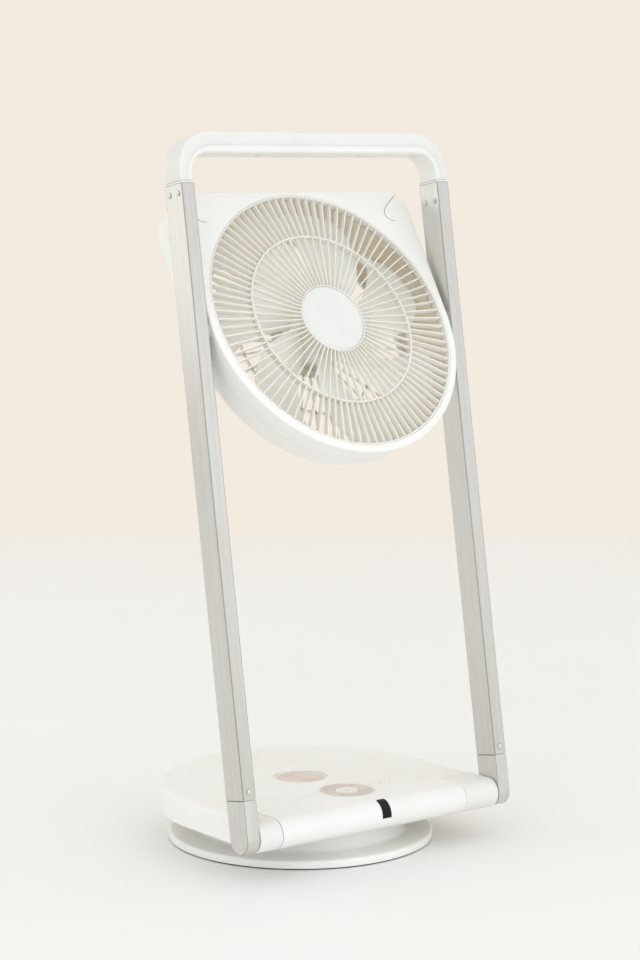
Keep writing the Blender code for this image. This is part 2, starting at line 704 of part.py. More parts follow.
def make_turntable(looks):
    """The round plate on the floor, its neck and hub, and what is fixed to it."""
    rim_centre = (PLATE_RADIUS - PLATE_RIM_ROUND, PLATE_UNDERSIDE + PLATE_RIM_HEIGHT / 2)
    rim = arc(rim_centre, PLATE_RIM_ROUND, -90, 90, RIM_STEPS)
    rim_top = rim[-1][1]
    inner_neck = NECK_RADIUS - NECK_WALL
    seat = PLATE_UNDERSIDE + BOTTOM_COVER_THICKNESS + GAP
    cover_edge = BOTTOM_COVER_RADIUS + GAP
    fillet_centre = (NECK_RADIUS + NECK_FILLET, rim_top + PLATE_SLOPE + NECK_FILLET)
    fillet = arc(fillet_centre, NECK_FILLET, 270, 180, 1)
    profile = [(cover_edge, PLATE_UNDERSIDE)] + rim + fillet
    profile += [
        (NECK_RADIUS, NECK_TOP - NECK_EDGE),
        (NECK_RADIUS - NECK_EDGE, NECK_TOP),
        (HUB_RADIUS, NECK_TOP),
        (HUB_RADIUS, HUB_TOP),
        (HUB_BORE, HUB_TOP),
        (HUB_BORE, NECK_TOP - DISC_THICKNESS),
        (inner_neck, NECK_TOP - DISC_THICKNESS),
        (inner_neck, seat),
        (cover_edge, seat),
    ]
    turned("turntable_plate", profile, looks["white"])
    tube("foot_ring", FOOT_INNER, FOOT_OUTER, 0, FOOT_HEIGHT, looks["rubber"])
    cover_top = PLATE_UNDERSIDE + BOTTOM_COVER_THICKNESS
    radii = (BOTTOM_COVER_HOLE, BOTTOM_COVER_RADIUS)
    tube("bottom_cover", *radii, PLATE_UNDERSIDE, cover_top, looks["white"], FLATS_MIDDLE)
    low = cover_top + GAP
    high = low + BALLAST_THICKNESS
    tube("ballast_plate", BALLAST_INNER, BALLAST_OUTER, low, high, looks["steel"], FLATS_SMALL)
    low = NECK_TOP + GAP
    tube("slide_ring", SLIDE_INNER, SLIDE_OUTER, low, low + SLIDE_THICKNESS, looks["bush"], FLATS_SMALL)


def gear_outline(teeth, phase=0.0):
    """A tooth is a trapezium about the pitch circle, and phase turns the first tooth from +X."""
    pitch = GEAR_MODULE * teeth / 2
    root = pitch - DEDENDUM * GEAR_MODULE
    levels = ((root, TOOTH_HALF_AT_ROOT), (pitch + GEAR_MODULE, TOOTH_HALF_AT_TIP))
    points = []
    for tooth in range(teeth):
        middle = math.radians(phase + 360 * tooth / teeth)
        for radius, half in levels:
            points.append((radius, middle - half / radius))
        for radius, half in reversed(levels):
            points.append((radius, middle + half / radius))
    return [(radius * math.cos(a), radius * math.sin(a)) for radius, a in points]


def make_swivel_drive(looks, swivel, pinion_axis):
    """A gear fixed to the hub, its nut, and the motor and pinion that walk round it."""
    outline = gear_outline(GEAR_TEETH, 90)
    gear = extruded("swivel_gear", [outline], GEAR_BOTTOM, GEAR_TOP, along_z, looks["bush"])
    cut(gear, cylinder("gear_bore", HUB_RADIUS + GAP, 0, BASE_TOP, None, FLATS_MIDDLE))
    nut = cylinder("hub_nut", NUT_RADIUS, GEAR_TOP + GAP, NUT_TOP, looks["steel"], HEXAGON)
    cut(nut, cylinder("nut_bore", HUB_RADIUS + GAP, 0, BASE_TOP, None, FLATS_MIDDLE))
    half_tooth = 180 / PINION_TEETH
    outline = gear_outline(PINION_TEETH, -90 + half_tooth)
    pinion = extruded("swivel_pinion", [outline], GEAR_BOTTOM, GEAR_TOP, along_z, looks["bush"], pinion_axis)
    top = SWIVEL_MOTOR_BOTTOM + PINION_SHAFT_LENGTH / 2
    low = (GEAR_BOTTOM + GEAR_TOP) / 2
    shaft = (PINION_SHAFT_RADIUS, low, top)
    add(pinion, cylinder("pinion_shaft", *shaft, None, FLATS_PIN, along_z, pinion_axis))
    centre = (0, GEAR_CENTRES)
    bottom = SWIVEL_MOTOR_BOTTOM
    bore = PINION_SHAFT_RADIUS + RUNNING_GAP
    profile = [
        (bore, bottom),
        (SWIVEL_MOTOR_RADIUS, bottom),
        (SWIVEL_MOTOR_RADIUS, bottom + SWIVEL_MOTOR_HEIGHT),
        (0, bottom + SWIVEL_MOTOR_HEIGHT),
        (0, top + RUNNING_GAP),
        (bore, top + RUNNING_GAP),
    ]
    motor = turned("swivel_motor", profile, looks["steel"], FLATS_GEARBOX, along_z, swivel, centre)
    lugs = []
    for sign in SIDES.values():
        inner = SWIVEL_MOTOR_RADIUS - WALL
        outer = SWIVEL_LUG_REACH + SWIVEL_LUG_RADIUS
        half = (outer - inner) / 2
        middle = (sign * (inner + outer) / 2, GEAR_CENTRES)
        outline = rounded_rectangle(half, SWIVEL_LUG_RADIUS, SWIVEL_LUG_RADIUS / 2, 2, middle)
        lugs.append(extruded("lug", [outline], bottom, bottom + SWIVEL_LUG_THICKNESS, along_z, None))
    add(motor, gather("motor_lugs", lugs, swivel))


# The hinge and the rails


def make_hinge(side, looks, swivel, frame):
    """Bracket and bush in the base, and the shaft with its nut that turn with the rail's foot."""
    sign = SIDES[side]
    span = sorted((sign * BRACKET_X, sign * (BRACKET_X + BRACKET_THICKNESS)))
    low = math.degrees(math.asin((HINGE_HEIGHT - PAN_TOP - GAP) / BRACKET_RADIUS))
    high_z = PAN_TOP + GAP + BRACKET_HEIGHT
    high = math.degrees(math.asin((high_z - HINGE_HEIGHT) / BRACKET_RADIUS))
    outline = arc((HINGE_Y, HINGE_HEIGHT), BRACKET_RADIUS, high, 360 - low, BRACKET_STEPS)
    outline += [(HINGE_Y + BRACKET_REACH, PAN_TOP + GAP), (HINGE_Y + BRACKET_REACH, high_z)]
    bracket = extruded("hinge_bracket_" + side, [outline], span[0], span[1], along_x, looks["steel"], swivel)
    bush_inner = SHAFT_RADIUS + RUNNING_GAP
    bush_outer = bush_inner + BUSH_THICKNESS
    hinge = (HINGE_Y, HINGE_HEIGHT)
    hole = bush_outer + GAP
    bore = bore_span(sign)
    cut(bracket, cylinder("bracket_bore_" + side, hole, *bore, None, FLATS_PIN, along_x, swivel, hinge))
    bush = (bush_inner, bush_outer, *span)
    tube("hinge_bush_" + side, *bush, looks["bush"], FLATS_PIN, along_x, swivel, hinge)
    ends = sorted((sign * SHAFT_INNER_END, sign * (RAIL_INNER + SHAFT_IN_ARM - GAP)))
    cylinder("hinge_shaft_" + side, SHAFT_RADIUS, *ends, looks["steel"], FLATS_SMALL, along_x, frame)
    far = BRACKET_X - GAP
    ends = sorted((sign * (far - HINGE_NUT_THICKNESS), sign * far))
    nut = cylinder("hinge_nut_" + side, HINGE_NUT_RADIUS, *ends, looks["steel"], HEXAGON, along_x, frame)
    hole = SHAFT_RADIUS + GAP
    cut(nut, cylinder("hinge_nut_bore_" + side, hole, *bore, None, FLATS_SMALL, along_x, frame))


def tenon(name, side, low, high, parent, half_width=TENON_HALF_WIDTH, half_depth=TENON_HALF_DEPTH):
    middle = SIDES[side] * RAIL_CENTRE
    return box(
        name,
        (middle - half_width, -half_depth, low),
        (middle + half_width, half_depth, high),
        None,
        parent,
    )


def make_rail(side, looks, frame):
    """The cast foot with its tenon, and the hollow rail that slides over it."""
    sign = SIDES[side]
    ends = sorted((sign * RAIL_INNER, sign * RAIL_OUTER))
    half = RAIL_DEPTH / 2
    outline = arc((0, 0), half, 180, 360, ARM_STEPS) + [(half, ARM_LENGTH - GAP), (-half, ARM_LENGTH - GAP)]
    arm = extruded("hinge_arm_" + side, [outline], *ends, along_x, looks["rail"], frame)
    add(arm, tenon("arm_tenon_" + side, side, ARM_LENGTH / 2, ARM_LENGTH + ARM_TENON, frame))
    bore = sorted((sign * SHAFT_RADIUS, sign * (RAIL_INNER + SHAFT_IN_ARM)))
    cut(arm, cylinder("arm_bore_" + side, SHAFT_RADIUS + GAP, *bore, None, FLATS_SMALL, along_x, frame))
    middle = (sign * RAIL_CENTRE, ARM_SCREW_ALONG)
    head = half + GAP + SCREW_HEAD_THICKNESS
    deep = half - SCREW_LENGTH
    hole = (SCREW_RADIUS + GAP, -head, -deep + GAP)
    screw_hole = cylinder("arm_screw_hole_" + side, *hole, None, FLATS_SCREW, along_y, frame, middle)
    cut(arm, screw_hole)
    profile = [(0, -head), (SCREW_HEAD_RADIUS, -head), (SCREW_HEAD_RADIUS, -half - GAP)]
    profile += [(SCREW_RADIUS, -half - GAP), (SCREW_RADIUS, -deep), (0, -deep)]
    turned("arm_screw_" + side, profile, looks["steel"], FLATS_SCREW, along_y, frame, middle)
    outer = rounded_rectangle(RAIL_WIDTH / 2, half, RAIL_CORNER, 1, (sign * RAIL_CENTRE, 0))
    inner_corner = RAIL_CORNER / 2
    inner = rounded_rectangle(
        RAIL_WIDTH / 2 - RAIL_WALL, half - RAIL_WALL, inner_corner, 1, (sign * RAIL_CENTRE, 0)
    )
    rings = [
        [(x, y, ARM_LENGTH) for x, y in outer],
        [(x, y, RAIL_TOP) for x, y in outer],
        [(x, y, RAIL_TOP) for x, y in inner],
        [(x, y, ARM_LENGTH) for x, y in inner],
    ]
    rail = skin("rail_" + side, rings, looks["rail"], frame, loop=True)
    cut(rail, screw_hole)
    holes = [through_hole(side, off, frame) for off in screw_rows().values()]
    pivot = (0, HEAD_ALONG)
    inward = sorted((0, sign * RAIL_CENTRE))
    holes.append(cylinder("hole", PIVOT_RADIUS + GAP, *inward, None, FLATS_PIN, along_x, frame, pivot))
    cut(rail, gather("rail_holes_" + side, holes, frame))
    stem = sorted((sign * PIVOT_INNER_X, sign * (RAIL_INNER + RAIL_WALL + GAP)))
    pin = cylinder("pivot_pin_" + side, PIVOT_RADIUS, *stem, looks["steel"], FLATS_PIN, along_x, frame, pivot)
    start = RAIL_INNER + RAIL_WALL + GAP
    ends = sorted((sign * (start - GAP / 3), sign * (start + PIVOT_HEAD_THICKNESS)))
    head = (PIVOT_HEAD_RADIUS, *ends)
    add(pin, cylinder("pivot_head_" + side, *head, None, FLATS_PIN, along_x, frame, pivot))
    for name, off in screw_rows().items():
        make_through_screw(side, name, off, looks, frame)


def screw_rows():
    return {"_front": -RAIL_SCREW_SPACING / 2, "_rear": RAIL_SCREW_SPACING / 2}


def through_hole(side, off, frame):
    ends = sorted((SIDES[side] * BASE_HALF_WIDTH, SIDES[side] * FRAME_WIDTH))
    centre = (off, RAIL_SCREW_ALONG)
    return cylinder("hole", SCREW_RADIUS + GAP, *ends, None, FLATS_THIN, along_x, frame, centre)


def make_through_screw(side, name, off, looks, frame):
    """A screw that runs through the rail and the handle's tenon, with a head on each face."""
    outer = RAIL_OUTER + GAP
    inner = RAIL_INNER - GAP
    head = SCREW_HEAD_THICKNESS
    profile = [
        (0, outer + head),
        (SCREW_HEAD_RADIUS, outer + head),
        (SCREW_HEAD_RADIUS, outer),
        (SCREW_RADIUS, outer),
        (SCREW_RADIUS, inner),
        (SCREW_HEAD_RADIUS, inner),
        (SCREW_HEAD_RADIUS, inner - head),
        (0, inner - head),
    ]
    profile = [(radius, SIDES[side] * x) for radius, x in profile]
    centre = (off, RAIL_SCREW_ALONG)
    turned("rail_screw_" + side + name, profile, looks["steel"], FLATS_THIN, along_x, frame, centre)


# The handle


def handle_curve(half_width, top, radius, bottom):
    """One curve of the arched handle, from the foot of the left leg to the foot of the right."""
    left = arc((-half_width + radius, top - radius), radius, 180, 90, HANDLE_ARC_STEPS)
    right = arc((half_width - radius, top - radius), radius, 90, 0, HANDLE_ARC_STEPS)
    return [(-half_width, bottom)] + left + right + [(half_width, bottom)]


def handle_rings(far_curve, near_curve, edge, inset):
    """Sections from a rounded back on far_curve to a flat mouth on near_curve, all drawn in by inset."""
    rings = []
    half = RAIL_DEPTH / 2 - inset
    for far, near in zip(far_curve, near_curve):
        far = Vector(far)
        span = Vector(near) - far
        towards = span.normalized()
        radius = min(edge, span.length - WALL) - inset
        mouth = span.length + inset
        corner = arc((inset + radius, -half + radius), radius, 270, 180, SECTION_STEPS)
        section = [(mouth, -half)] + corner
        section += [(away, -depth) for away, depth in reversed(section)]
        points = [(far + towards * away, depth) for away, depth in section]
        rings.append([(point.x, depth, point.y) for point, depth in points])
    return rings


def make_channel(name, far_curve, near_curve, edge, look, frame):
    """A moulding that is open towards near_curve, and solid at its two feet."""
    channel = skin(name, handle_rings(far_curve, near_curve, edge, 0), look, frame)
    hollow = handle_rings(far_curve, near_curve, edge, WALL)[2:-2]
    return cut(channel, skin(name + "_hollow", hollow, None, frame))


def make_handle(looks, frame):
    """The outer shell with a tenon for each rail, the grip under it, and the collars."""
    bottom = HANDLE_LEG_BOTTOM
    parting_half = RAIL_OUTER - HANDLE_SHELL_LEG
    outer = handle_curve(RAIL_OUTER, HANDLE_TOP, HANDLE_OUTER_RADIUS, bottom)
    parting = handle_curve(parting_half, HANDLE_PARTING, HANDLE_PARTING_RADIUS, bottom)
    seam_half = parting_half - GAP
    seam_radius = HANDLE_PARTING_RADIUS - GAP
    seam = handle_curve(seam_half, HANDLE_PARTING - GAP, seam_radius, bottom)
    inner = handle_curve(RAIL_INNER, HANDLE_UNDERSIDE, HANDLE_INNER_RADIUS, bottom)
    shell = make_channel("handle_shell", outer, parting, HANDLE_OUTER_EDGE, looks["white"], frame)
    grip = make_channel("handle_grip", inner, seam, HANDLE_GRIP_EDGE, looks["white"], frame)
    for side in SIDES:
        make_collar(side, looks, frame)
    screws = grip_screws()
    add(shell, gather("handle_tenons", [tenon_block(side, frame) for side in SIDES], frame))
    add(shell, gather("handle_stubs", [tenon_stub(side, parting_half, frame) for side in SIDES], frame))
    add(shell, gather("shell_bosses", [shell_boss(x, frame) for x in screws.values()], frame))
    add(grip, gather("grip_sleeves", [grip_sleeve(x, frame) for x in screws.values()], frame))
    holes = [through_hole(side, off, frame) for side in SIDES for off in screw_rows().values()]
    cut(shell, gather("tenon_holes", holes, frame))
    holes = [stepped_screw("hole", x, GAP, None, frame) for x in screws.values()]
    holes = gather("grip_screw_holes", holes, frame)
    cut(shell, holes)
    cut(grip, holes)
    for name, x in screws.items():
        stepped_screw("grip_screw_" + name, x, 0, looks["steel"], frame)


def tenon_block(side, frame):
    """The block that fills the rail's end."""
    return tenon("block", side, RAIL_TOP - TENON_LENGTH, HANDLE_LEG_BOTTOM - GAP, frame)


def tenon_stub(side, parting_half, frame):
    """The narrower block that joins the tenon to the shell's leg but not to the grip's."""
    sign = SIDES[side]
    ends = sorted((sign * (parting_half + GAP), sign * (RAIL_CENTRE + TENON_HALF_WIDTH - GAP)))
    depth = TENON_HALF_DEPTH - GAP
    low = RAIL_TOP - TENON_LENGTH + GAP
    return box("stub", (ends[0], -depth, low), (ends[1], depth, HANDLE_LEG_BOTTOM + STUB_REACH), None, frame)


def make_collar(side, looks, frame):
    """A thin ring round the tenon, between the rail and the handle."""
    middle = (SIDES[side] * RAIL_CENTRE, 0)
    half = (RAIL_WIDTH / 2 + COLLAR_PROUD, RAIL_DEPTH / 2 + COLLAR_PROUD)
    outline = rounded_rectangle(*half, 2 * RAIL_CORNER, 2, middle)
    hole = rounded_rectangle(TENON_HALF_WIDTH + GAP, TENON_HALF_DEPTH + GAP, RAIL_CORNER / 2, 2, middle)
    low = RAIL_TOP + GAP
    high = low + COLLAR_HEIGHT
    levels = ((outline, low), (outline, high), (hole, high), (hole, low))
    rings = [[(x, y, z) for x, y in points] for points, z in levels]
    skin("handle_collar_" + side, rings, looks["white"], frame, loop=True)


def arch_height(x, half_width, top, radius):
    """The height of one of the handle's curves over a point x."""
    over = max(abs(x) - (half_width - radius), 0)
    return top - radius + math.sqrt(radius**2 - over**2)


def shell_boss(x, frame):
    """A post down from the shell's roof, which one screw bites in."""
    reach = abs(x) + GRIP_BOSS_RADIUS
    roof = arch_height(reach, RAIL_OUTER, HANDLE_TOP, HANDLE_OUTER_RADIUS) - GAP / 2
    return cylinder("boss", GRIP_BOSS_RADIUS, HANDLE_PARTING, roof, None, FLATS_THIN, along_z, frame, (x, 0))


def grip_sleeve(x, frame):
    """A post up from the grip's floor, which one screw runs through."""
    span = (HANDLE_UNDERSIDE + GAP, HANDLE_PARTING - 2 * GAP)
    return cylinder("sleeve", GRIP_BOSS_RADIUS, *span, None, FLATS_THIN, along_z, frame, (x, 0))


def stepped_screw(name, x, ease, look, frame):
    """A screw up through the grip, or with an ease and no look, the stepped hole round it."""
    seat = HANDLE_UNDERSIDE + GRIP_SCREW_RECESS
    bottom = seat - GRIP_SCREW_HEAD if look else HANDLE_UNDERSIDE - WALL
    shoulder = seat - GAP + ease
    tip = HANDLE_PARTING + GRIP_SCREW_REACH + ease
    head = GRIP_SCREW_HEAD + ease
    stem = SCREW_RADIUS + ease
    profile = [(0, bottom), (head, bottom), (head, shoulder), (stem, shoulder), (stem, tip), (0, tip)]
    return turned(name, profile, look, FLATS_SCREW, along_z, frame, (x, 0))


def grip_screws():
    return {
        "outer_left": -GRIP_SCREW_OUTER_X,
        "left": -GRIP_SCREW_X,
        "right": GRIP_SCREW_X,
        "outer_right": GRIP_SCREW_OUTER_X,
    }


# The head


def head_angles():
    """Angles from the pivot, in radians, closer together at the two top corners."""
    side = math.degrees(math.atan2(HEAD_TOP - HEAD_CORNER, HEAD_RADIUS))
    top = math.degrees(math.atan2(HEAD_TOP, HEAD_RADIUS - HEAD_CORNER))
    spans = (
        (0, side, 5),
        (side, top, 4),
        (top, 180 - top, 10),
        (180 - top, 180 - side, 4),
        (180 - side, 180, 5),
        (180, 360, 22),
    )
    angles = []
    for low, high, steps in spans:
        angles += [math.radians(low + (high - low) * k / steps) for k in range(steps)]
    return angles


def head_outline(inset):
    """Round below, square above with round corners, as (x, z) at the head's angles."""
    radius = HEAD_RADIUS - inset
    top = HEAD_TOP - inset
    corner = max(HEAD_CORNER - inset, HEAD_FRONT_EDGE)
    centre_x = radius - corner
    centre_z = top - corner
    points = []
    for angle in head_angles():
        c = math.cos(angle)
        s = math.sin(angle)
        if s <= 0:
            reach = radius
        elif abs(c) > MESH_MERGE and radius * s / abs(c) <= centre_z:
            reach = radius / abs(c)
        elif top * abs(c) / s <= centre_x:
            reach = top / s
        else:
            along = centre_x * abs(c) + centre_z * s
            away = centre_x**2 + centre_z**2 - corner**2
            reach = along + math.sqrt(max(along**2 - away, 0))
        points.append((reach * c, reach * s))
    return points


def head_circle(radius):
    return [(radius * math.cos(angle), radius * math.sin(angle)) for angle in head_angles()]


def head_slant(y):
    """How far the slanting side has drawn in at a depth y behind the pivot."""
    run = HEAD_BACK - HEAD_BACK_EDGE + HEAD_FRONT - HEAD_FRONT_EDGE
    return HEAD_TAPER * (y + HEAD_FRONT - HEAD_FRONT_EDGE) / run


def make_front_shell(looks, head):
    """The frame of the head's front, round opening and all, back to the seam in its side."""
    front = -HEAD_FRONT
    opening = head_circle(GRILLE_RADIUS + 2 * GAP)
    rings = [[(x, front, z) for x, z in opening]]
    for k in range(FRONT_EDGE_STEPS + 1):
        turn = math.radians(90 * k / FRONT_EDGE_STEPS)
        inset = HEAD_FRONT_EDGE * (1 - math.sin(turn))
        y = front + HEAD_FRONT_EDGE * (1 - math.cos(turn))
        rings.append([(x, y, z) for x, z in head_outline(inset)])
    seam = HEAD_SEAM - GAP / 2
    rings.append([(x, seam, z) for x, z in head_outline(head_slant(seam))])
    rings.append([(x, seam, z) for x, z in head_outline(head_slant(seam) + HEAD_WALL)])
    inside = front + HEAD_WALL
    rings.append([(x, inside, z) for x, z in head_outline(HEAD_FRONT_EDGE + HEAD_WALL)])
    rings.append([(x, inside, z) for x, z in opening])
    shell = skin("head_front_shell", rings, looks["white"], head, loop=True)
    holes = []
    for sign in SIDES.values():
        inward = sorted((sign * HEAD_RADIUS / 2, sign * FRAME_WIDTH))
        holes.append(cylinder("hole", BOSS_SPIGOT + GAP, *inward, None, FLATS_PIN, along_x))
    return cut(shell, gather("boss_holes", holes, head))


def make_rear_shell(looks, head):
    """The tapering back of the head, with a round opening for the rear grille."""
    seam = HEAD_SEAM + GAP / 2
    rings = [[(x, seam, z) for x, z in head_outline(head_slant(seam))]]
    start = HEAD_BACK - HEAD_BACK_EDGE
    for k in range(BACK_EDGE_STEPS + 1):
        turn = math.radians(90 * k / BACK_EDGE_STEPS)
        inset = HEAD_TAPER + HEAD_BACK_EDGE * (1 - math.cos(turn))
        y = start + HEAD_BACK_EDGE * math.sin(turn)
        rings.append([(x, y, z) for x, z in head_outline(inset)])
    opening = head_circle(REAR_GRILLE_RADIUS + 2 * GAP)
    rings.append([(x, HEAD_BACK, z) for x, z in opening])
    rings.append([(x, HEAD_BACK - HEAD_WALL, z) for x, z in opening])
    inner_edge = HEAD_BACK_EDGE - HEAD_WALL
    for k in range(INNER_EDGE_STEPS, -1, -1):
        turn = math.radians(90 * k / INNER_EDGE_STEPS)
        inset = HEAD_TAPER + HEAD_WALL + inner_edge * (1 - math.cos(turn))
        y = start + inner_edge * math.sin(turn)
        rings.append([(x, y, z) for x, z in head_outline(inset)])
    rings.append([(x, seam, z) for x, z in head_outline(head_slant(seam) + HEAD_WALL)])
    return skin("head_rear_shell", rings, looks["white"], head, loop=True)


def make_pivot_boss(side, looks, head):
    """The round boss between the rail and the head's slanting side, with a spigot into the shell."""
    sign = SIDES[side]
    inward = sorted((sign * BOSS_BASE_X, sign * (RAIL_INNER - GAP)))
    boss = cylinder("pivot_boss_" + side, BOSS_RADIUS, *inward, looks["white"], FLATS_SMALL, along_x, head)
    far = 2 * BOSS_RADIUS
    slope = [(sign * (HEAD_RADIUS - head_slant(y) + GAP), y) for y in (-far, far)]
    wedge = [(0, -far)] + slope + [(0, far)]
    cut(boss, extruded("boss_slant_" + side, [wedge], -far, far, along_z, None, head))
    stem = sorted((sign * BOSS_INNER_X, sign * (RAIL_INNER - 2 * GAP)))
    add(boss, cylinder("boss_spigot_" + side, BOSS_SPIGOT, *stem, None, FLATS_PIN, along_x, head))
    bore = PIVOT_RADIUS + RUNNING_GAP
    through = sorted((0, sign * FRAME_WIDTH))
    cut(boss, cylinder("boss_bore_" + side, bore, *through, None, FLATS_PIN, along_x, head))


def rib_edges(radius, count, width):
    """Both edges of each of count ribs where they meet a circle, as angles in degrees from +X."""
    half = math.degrees(math.asin(width / 2 / radius))
    edges = []
    for k in range(count):
        middle = 90 + 360 * k / count
        edges.append((middle - half, middle + half))
    return edges


def sector_angles(edges, sector, sectors):
    """From the far edge of a sector's first rib to the far edge of the next sector's first rib."""
    share = len(edges) // sectors
    angles = [edges[sector * share][1]]
    for k in range(sector * share + 1, (sector + 1) * share + 1):
        turn = 360 * (k // len(edges))
        angles += [edge + turn for edge in edges[k % len(edges)]]
    return angles


def polar(radius, angle):
    return (radius * math.cos(math.radians(angle)), radius * math.sin(math.radians(angle)))


def ring_faces(inner, outer, inner_edges, outer_edges, sectors):
    """Flat faces of a ring that holds every rib edge. One side may have no ribs."""
    faces = []
    for k in range(sectors):
        near = sector_angles(inner_edges or outer_edges, k, sectors)
        far = sector_angles(outer_edges or inner_edges, k, sectors)
        near = near if inner_edges else [far[0], far[-1]]
        far = far if outer_edges else [near[0], near[-1]]
        faces.append([polar(inner, a) for a in near] + [polar(outer, a) for a in reversed(far)])
    return faces


def rib_faces(inner, outer, inner_edges, outer_edges):
    faces = []
    for near, far in zip(inner_edges, outer_edges):
        far_side = [polar(outer, far[0]), polar(outer, far[1])]
        faces.append([polar(inner, near[0])] + far_side + [polar(inner, near[1])])
    return faces


def make_front_grille(looks, head):
    """Rim, middle ring and inner ring joined by radial fins, as one moulding."""
    rim_inner = GRILLE_RADIUS - GRILLE_RIM
    mid_outer = GRILLE_MID_RADIUS + GRILLE_MID_WIDTH / 2
    mid_inner = GRILLE_MID_RADIUS - GRILLE_MID_WIDTH / 2
    core_outer = GRILLE_INNER_RADIUS
    core_inner = CAP_RADIUS + GAP
    outer_far = rib_edges(rim_inner, GRILLE_OUTER_FINS, GRILLE_FIN)
    outer_near = rib_edges(mid_outer, GRILLE_OUTER_FINS, GRILLE_FIN)
    inner_far = rib_edges(mid_inner, GRILLE_INNER_FINS, GRILLE_FIN)
    inner_near = rib_edges(core_outer, GRILLE_INNER_FINS, GRILLE_FIN)
    shared = math.gcd(GRILLE_OUTER_FINS, GRILLE_INNER_FINS)
    faces = ring_faces(rim_inner, GRILLE_RADIUS, outer_far, [], GRILLE_OUTER_FINS)
    faces += rib_faces(mid_outer, rim_inner, outer_near, outer_far)
    faces += ring_faces(mid_inner, mid_outer, inner_far, outer_near, shared)
    faces += rib_faces(core_outer, mid_inner, inner_near, inner_far)
    faces += ring_faces(core_inner, core_outer, [], inner_near, GRILLE_INNER_FINS)
    front = -HEAD_FRONT
    return extruded("front_grille", faces, front, front + GRILLE_DEPTH, along_y, looks["white"], head)


def make_centre_cap(looks, head):
    front = -HEAD_FRONT + CAP_DROP
    back = front + CAP_THICKNESS
    radius = CAP_RADIUS
    profile = [(0, front), (radius - CAP_EDGE, front), (radius, front + CAP_EDGE), (radius, back), (0, back)]
    turned("centre_cap", profile, looks["white"], FLATS_CAP, along_y, head)


def make_rear_grille(looks, head):
    """A round guard whose middle plate carries the motor."""
    rim_inner = REAR_GRILLE_RADIUS - REAR_GRILLE_RIM
    mid_outer = REAR_MID_RADIUS + REAR_MID_WIDTH / 2
    mid_inner = REAR_MID_RADIUS - REAR_MID_WIDTH / 2
    rim_edges = rib_edges(rim_inner, REAR_FINS, REAR_FIN)
    mid_far = rib_edges(mid_outer, REAR_FINS, REAR_FIN)
    mid_near = rib_edges(mid_inner, REAR_FINS, REAR_FIN)
    plate_edges = rib_edges(REAR_PLATE_RADIUS, REAR_FINS, REAR_FIN)
    faces = ring_faces(rim_inner, REAR_GRILLE_RADIUS, rim_edges, [], REAR_FINS)
    faces += rib_faces(mid_outer, rim_inner, mid_far, rim_edges)
    faces += ring_faces(mid_inner, mid_outer, mid_near, mid_far, REAR_FINS)
    faces += rib_faces(REAR_PLATE_RADIUS, mid_inner, plate_edges, mid_near)
    faces += ring_faces(MOTOR_BORE, REAR_PLATE_RADIUS, [], plate_edges, REAR_FINS)
    back = HEAD_BACK
    return extruded("rear_grille", faces, back - REAR_GRILLE_DEPTH, back, along_y, looks["white"], head)


# The motor and the fan


def make_motor(looks, head):
    back = HEAD_BACK - REAR_GRILLE_DEPTH - GAP
    front = back - MOTOR_LENGTH
    edge = MOTOR_EDGE
    profile = [
        (MOTOR_BORE, front),
        (MOTOR_RADIUS - edge, front),
        (MOTOR_RADIUS, front + edge),
        (MOTOR_RADIUS, back),
        (0, back),
        (0, front + MOTOR_BORE_DEPTH),
        (MOTOR_BORE, front + MOTOR_BORE_DEPTH),
    ]
    turned("fan_motor", profile, looks["steel"], FLATS_MOTOR, along_y, head)
    return front


def blade_points(turn, side):
    """One face of a blade as rows of points, from its root in the hub to its tip.

    The chord runs round the axis and back along it, and the whole blade leans round as it goes
    outwards. Side is -1 for the front face and 1 for the rear one.
    """
    rows = []
    root = FAN_HUB_RADIUS - FAN_HUB_WALL / 2
    for i in range(BLADE_RADIAL_STEPS + 1):
        out = i / BLADE_RADIAL_STEPS
        radius = root + (FAN_RADIUS - root) * out
        chord = BLADE_CHORD * (1 - BLADE_TIP_NARROWING * out)
        share = BLADE_ROOT_DEPTH_SHARE + (BLADE_TIP_DEPTH_SHARE - BLADE_ROOT_DEPTH_SHARE) * out
        depth = BLADE_DEPTH * share
        lean = BLADE_SWEEP * out**BLADE_SWEEP_POWER
        row = []
        for j in range(BLADE_CHORD_STEPS + 1):
            across = j / BLADE_CHORD_STEPS
            angle = math.radians(turn + lean + chord * (across - 0.5))
            bulge = BLADE_CAMBER * 4 * across * (1 - across)
            y = BLADE_FRONT + BLADE_THICKNESS + (BLADE_DEPTH - depth) / 2 + depth * across - bulge
            y = max(y, BLADE_FRONT) + side * BLADE_THICKNESS / 2
            row.append((radius * math.cos(angle), y, radius * math.sin(angle)))
        rows.append(row)
    return rows


